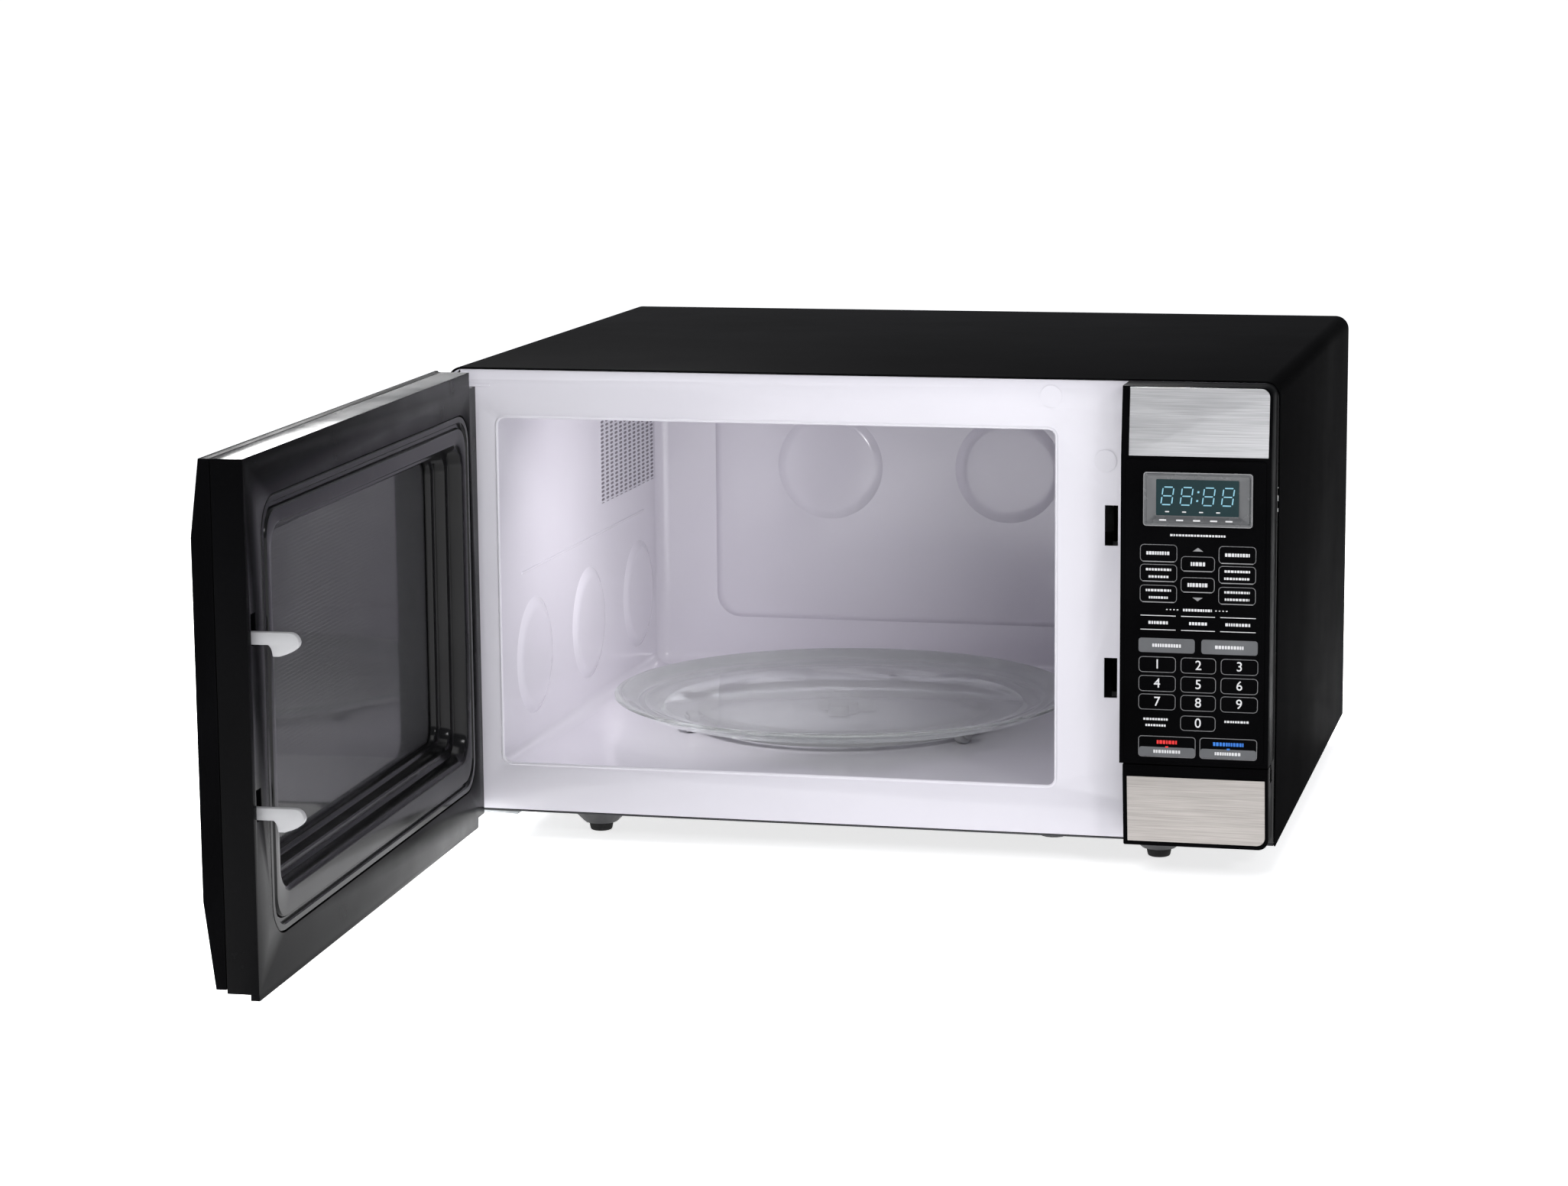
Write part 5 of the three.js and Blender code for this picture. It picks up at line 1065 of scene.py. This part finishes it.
# %% Key labels
INK_HEIGHT = 0.06
FREE_LABELS = [
    (43, 135.8, 33, 1.2), (43, 91.4, 17, 1.5), (19.8, 83.4, 11.5, 1.8), (43.4, 83.4, 10.5, 1.8),
    (67, 83.4, 15, 1.8), (18.7, 25.3, 14.5, 1.3), (66.8, 25.3, 14.5, 1.3), (18.7, 21.6, 12, 1.3),
]
rng = random.Random(7)
labels = bmesh.new()


def label(bm, x, z, width, height=1.5):
    """A row of bars round a middle point, in the place of a word."""
    cursor = x - width / 2
    while cursor < x + width / 2 - 0.5:
        length = min(rng.uniform(0.9, 1.7), x + width / 2 - cursor)
        bar = (cursor, cursor + length, z - height / 2, z + height / 2)
        tile(bm, *on_pad(*bar), 0.12, INK_HEIGHT, segments=1)
        cursor += length + rng.uniform(0.35, 0.5)


for index, (left, right, low, high) in enumerate(MENU_KEYS):
    middle = (left + right) / 2
    if index < 2:
        label(labels, middle, (low + high) / 2, 14.5, 2)
    else:
        label(labels, middle, high - 3.2, 15, 1.4)
        label(labels, middle, low + 3.0, rng.uniform(11, 16), 1.4)
for (left, right, low, high), width in zip(ARROW_KEYS, (8.5, 12)):
    label(labels, (left + right) / 2, (low + high) / 2, width, 2.3)
for x, z, width, height in FREE_LABELS:
    label(labels, x, z, width, height)
print("labels so far:", len(labels.faces), "faces")

# %% [markdown]
# Thin rules stand above and below three of the labels, and two short rows of dots beside another. They
# belong to the same print, so they go into the same piece.

# %% Rules and dots
RULES = [(9.3, 30.2), (33.4, 53.4), (56.5, 77.4)]
RULE_HEIGHTS = (87.6, 79.2)
DOT_STARTS = (24.5, 53.5)
DOT_PITCH = 2.1
DOT_WIDTH = 0.9

for left, right in RULES:
    for z in RULE_HEIGHTS:
        tile(labels, *on_pad(left, right, z - 0.2, z + 0.2), 0.1, INK_HEIGHT, segments=1)
for left in DOT_STARTS:
    for step in range(4):
        x = left + DOT_PITCH * step
        tile(labels, *on_pad(x, x + DOT_WIDTH, 91.1, 91.7), 0.1, INK_HEIGHT, segments=1)
panel_piece(labels, "key_labels", INK_WHITE)

# %% [markdown]
# The grey keys are printed on top of their tiles, so that print is moved forward. The two big keys at the
# bottom have a coloured word with a dot under it.

# %% Print on the grey and the big keys
dark_labels = bmesh.new()
for left, right, low, high in GREY_KEYS:
    label(dark_labels, (left + right) / 2, (low + high) / 2, 17, 2)
for left, right, low, high in START_KEYS:
    label(dark_labels, (left + right) / 2, low + 3.4, 16, 1.9)
bmesh.ops.translate(dark_labels, vec=(0, -0.17, 0), verts=dark_labels.verts)
panel_piece(dark_labels, "grey_key_labels", INK_WHITE)
# The coloured words carry the inks' faint painted glow.
for name, x, width, ink in [("stop_mark", 25.5, 12, INK_RED), ("start_mark", 62, 18, INK_BLUE)]:
    mark = bmesh.new()
    label(mark, x, 11.6, width, 2.2)
    tile(mark, *on_pad(x - 0.9, x + 0.9, 8.3, 9.2), 0.3, 0.2)
    panel_piece(mark, name, ink)

# %% [markdown]
# An arrow is a cone with three sides, almost without height. It is stood up, stretched sideways, and
# turned over for the arrow that points down.

# %% Arrows
ARROW_PLACES = ((43, 127.2, 0), (43, 98.3, math.pi))


def arrows():
    bm = bmesh.new()
    for x, z, turn in ARROW_PLACES:
        start = set(bm.verts)
        bmesh.ops.create_cone(bm, cap_ends=True, segments=3, radius1=2.4, radius2=2.2, depth=0.12)
        place = Matrix.Translation((KEYPAD[0] + x, FACE - 0.05, KEYPAD[1] + z))
        flat = place @ Matrix.Rotation(turn, 4, "Y") @ Matrix.Diagonal((1.5, 1, 0.62, 1))
        stand = flat @ Matrix.Rotation(math.pi / 2, 4, "X")
        bmesh.ops.transform(bm, matrix=stand, verts=added(bm, start))
    panel_piece(bm, "arrow_marks", KEY_PRINT_AND_HIGHLIGHT)


arrows()

# %% [markdown]
# The digits come from the built-in letterforms. A text object is turned into a mesh, which is stood up
# on its key, and then the text object is thrown away.

# %% Digits
DIGIT_HEIGHT = 8


def digits():
    bm = bmesh.new()
    for character, (left, right, low, high) in zip("1234567890", DIGIT_KEYS):
        curve = bpy.data.curves.new("digit", "FONT")
        curve.body = character
        curve.size = DIGIT_HEIGHT
        curve.align_x = "CENTER"
        curve.align_y = "CENTER"
        curve.extrude = 0.04
        curve.offset = 0.03
        holder = bpy.data.objects.new("digit", curve)
        flat = bpy.data.meshes.new_from_object(holder)
        start = set(bm.verts)
        bm.from_mesh(flat)
        middle = (KEYPAD[0] + (left + right) / 2, FACE - 0.05, KEYPAD[1] + (low + high) / 2)
        stand = Matrix.Translation(middle) @ Matrix.Rotation(math.pi / 2, 4, "X")
        bmesh.ops.transform(bm, matrix=stand, verts=added(bm, start))
        bpy.data.objects.remove(holder)
        bpy.data.curves.remove(curve)
        bpy.data.meshes.remove(flat)
    panel_piece(bm, "key_digits", INK_WHITE)


digits()

# %% [markdown]
# ## Display
# The display is a dark glass behind a stepped bezel with a fine light edge. Both are lofts: a hoop for
# the edge, and a row of rectangles that step down to the glass.

# %% The display's surround
BEZEL = (438.5, 502.9, 197, 229)
GLASS = (445.9, 494.6, 203.3, 224.7)
BEZEL_FACE = -32.5
BEZEL_STEPS = [(0, 1.8, -31.25), (0, 1.8, -32.1), (0.4, 1.6, -32.6), (1.2, 1.3, -32.7), (1.7, 1.1, -32.4),
               (2.0, 1.0, -31.9), (3.2, 0.8, -31.8)]


def bezel():
    bm = bmesh.new()
    rings = [(*inset(BEZEL, by), radius, y) for by, radius, y in BEZEL_STEPS]
    rings += [(*inset(GLASS, -0.6), 0.9, -31.7), (*GLASS, 0.7, -31.3)]
    loft(bm, rings, segments=4)
    bmesh.ops.recalc_face_normals(bm, faces=bm.faces)
    place_piece(bm, "display_surround", "cabinet", BEZEL_GREY, turn=CABINET,
                replaces=("display_bezel",))


display_line = bmesh.new()
hoop(display_line, *inset(BEZEL, 0.1), 1.8, 0.5, 0.3, BEZEL_FACE)
panel_piece(display_line, "display_line", KEY_PRINT_AND_HIGHLIGHT)
bezel()

# %% [markdown]
# The digits are seven slanted bars each, and all of them are lit, as in a lamp test. They are laid out
# round the display's middle, sheared and then moved into place.

# %% Lit digits
DISPLAY_MIDDLE = (470.6, -31.24, 214.9)
DIGIT_WIDE = 6.3
DIGIT_TALL = 10.4
DIGIT_PLACES = (-18, -6.7, 6.3, 17.6)
COLON_HEIGHTS = (-2.6, 2.6)
STROKE = 1
GAP = 0.16
SLANT = 0.13


def seven_segments():
    bm = bmesh.new()
    half_wide = DIGIT_WIDE / 2
    half_tall = DIGIT_TALL / 2
    reach = STROKE / 2
    bars = [(-half_wide + reach, half_wide - reach, z - reach, z + reach) for z in (half_tall, 0, -half_tall)]
    for x in (-half_wide, half_wide):
        bars.append((x - reach, x + reach, reach, half_tall - reach))
        bars.append((x - reach, x + reach, -half_tall + reach, -reach))
    for place in DIGIT_PLACES:
        for left, right, low, high in bars:
            tile(bm, *inset((place + left, place + right, low, high), GAP), 0.3, 0.05, 0, 2)
    for z in COLON_HEIGHTS:
        tile(bm, -0.7, 0.5, z - 0.6, z + 0.6, 0.3, 0.05, 0, 2)
    shear = Matrix(((1, 0, SLANT, 0), (0, 1, 0, 0), (0, 0, 1, 0), (0, 0, 0, 1)))
    bmesh.ops.transform(bm, matrix=Matrix.Translation(DISPLAY_MIDDLE) @ shear, verts=bm.verts)
    panel_piece(bm, "display_digits", LIT_BLUE)


seven_segments()

# %% [markdown]
# Two rows of tiny dashes show the state of the oven: one is printed on the bezel and one on the glass.

# %% Status marks
BEZEL_DASHES = (450, 460, 470, 480, 489)
GLASS_DASHES = (452.5, 462.5, 472.5, 482.5)


def status_marks():
    bm = bmesh.new()
    for x in BEZEL_DASHES:
        tile(bm, x - 2.1, x + 2.1, 200.2, 201.1, 0.2, 0.05, -31.95, 1)
    for x in GLASS_DASHES:
        tile(bm, x - 1.2, x + 1.2, 205.2, 205.9, 0.2, 0.05, -31.22, 1)
    panel_piece(bm, "status_marks", INK_WHITE)


status_marks()

# %% [markdown]
# ## Feet and fixings
# The feet are rubber buttons with a rounded sole and a shallow hollow in it. They are turned shapes, so
# one section is spun for all four.

# %% Feet
FOOT_SECTION = [(0, -11.9), (7.2, -11.9), (7.5, -12.3), (7.5, -13.2), (7.0, -15.9), (6.5, -16.7), (5.8, -17),
                (4.2, -17), (3.8, -16.5), (0, -16.4)]
FOOT_PLACES = [("foot_front_left", 84, 34), ("foot_front_right", 440, 34), ("foot_rear_left", 84, 372),
               ("foot_rear_right", 440, 372)]
for name, x, y in FOOT_PLACES:
    foot = bmesh.new()
    spin_profile(foot, FOOT_SECTION, steps=40)
    bmesh.ops.translate(foot, vec=(x, y, 0), verts=foot.verts)
    place_piece(foot, name + "_button", "cabinet", RUBBER, turn=CABINET, replaces=(name,))

# %% [markdown]
# The rear panel is held by screws with domed heads. Their drive recess is left out, because it is tiny
# and at the back. All heads are one piece.

# %% Screws
SCREW_SECTION = [(0, 2.1), (1.4, 2.05), (2.6, 1.6), (3.3, 0.9), (3.6, 0.1), (3.6, -0.4), (0, -0.4)]
REAR_FACE = 411
SCREWS = [(8, 270), (8, 140), (8, 12), (507, 270), (507, 140), (507, 12), (180, 273), (340, 273)]


def screws():
    bm = bmesh.new()
    for x, z in SCREWS:
        start = set(bm.verts)
        spin_profile(bm, SCREW_SECTION, steps=20)
        turn = Matrix.Translation((x, REAR_FACE, z)) @ Matrix.Rotation(-math.pi / 2, 4, "X")
        bmesh.ops.transform(bm, matrix=turn, verts=added(bm, start))
    bmesh.ops.recalc_face_normals(bm, faces=bm.faces)
    place_piece(bm, "rear_screws", "cabinet", ZINC, turn=CABINET)


screws()
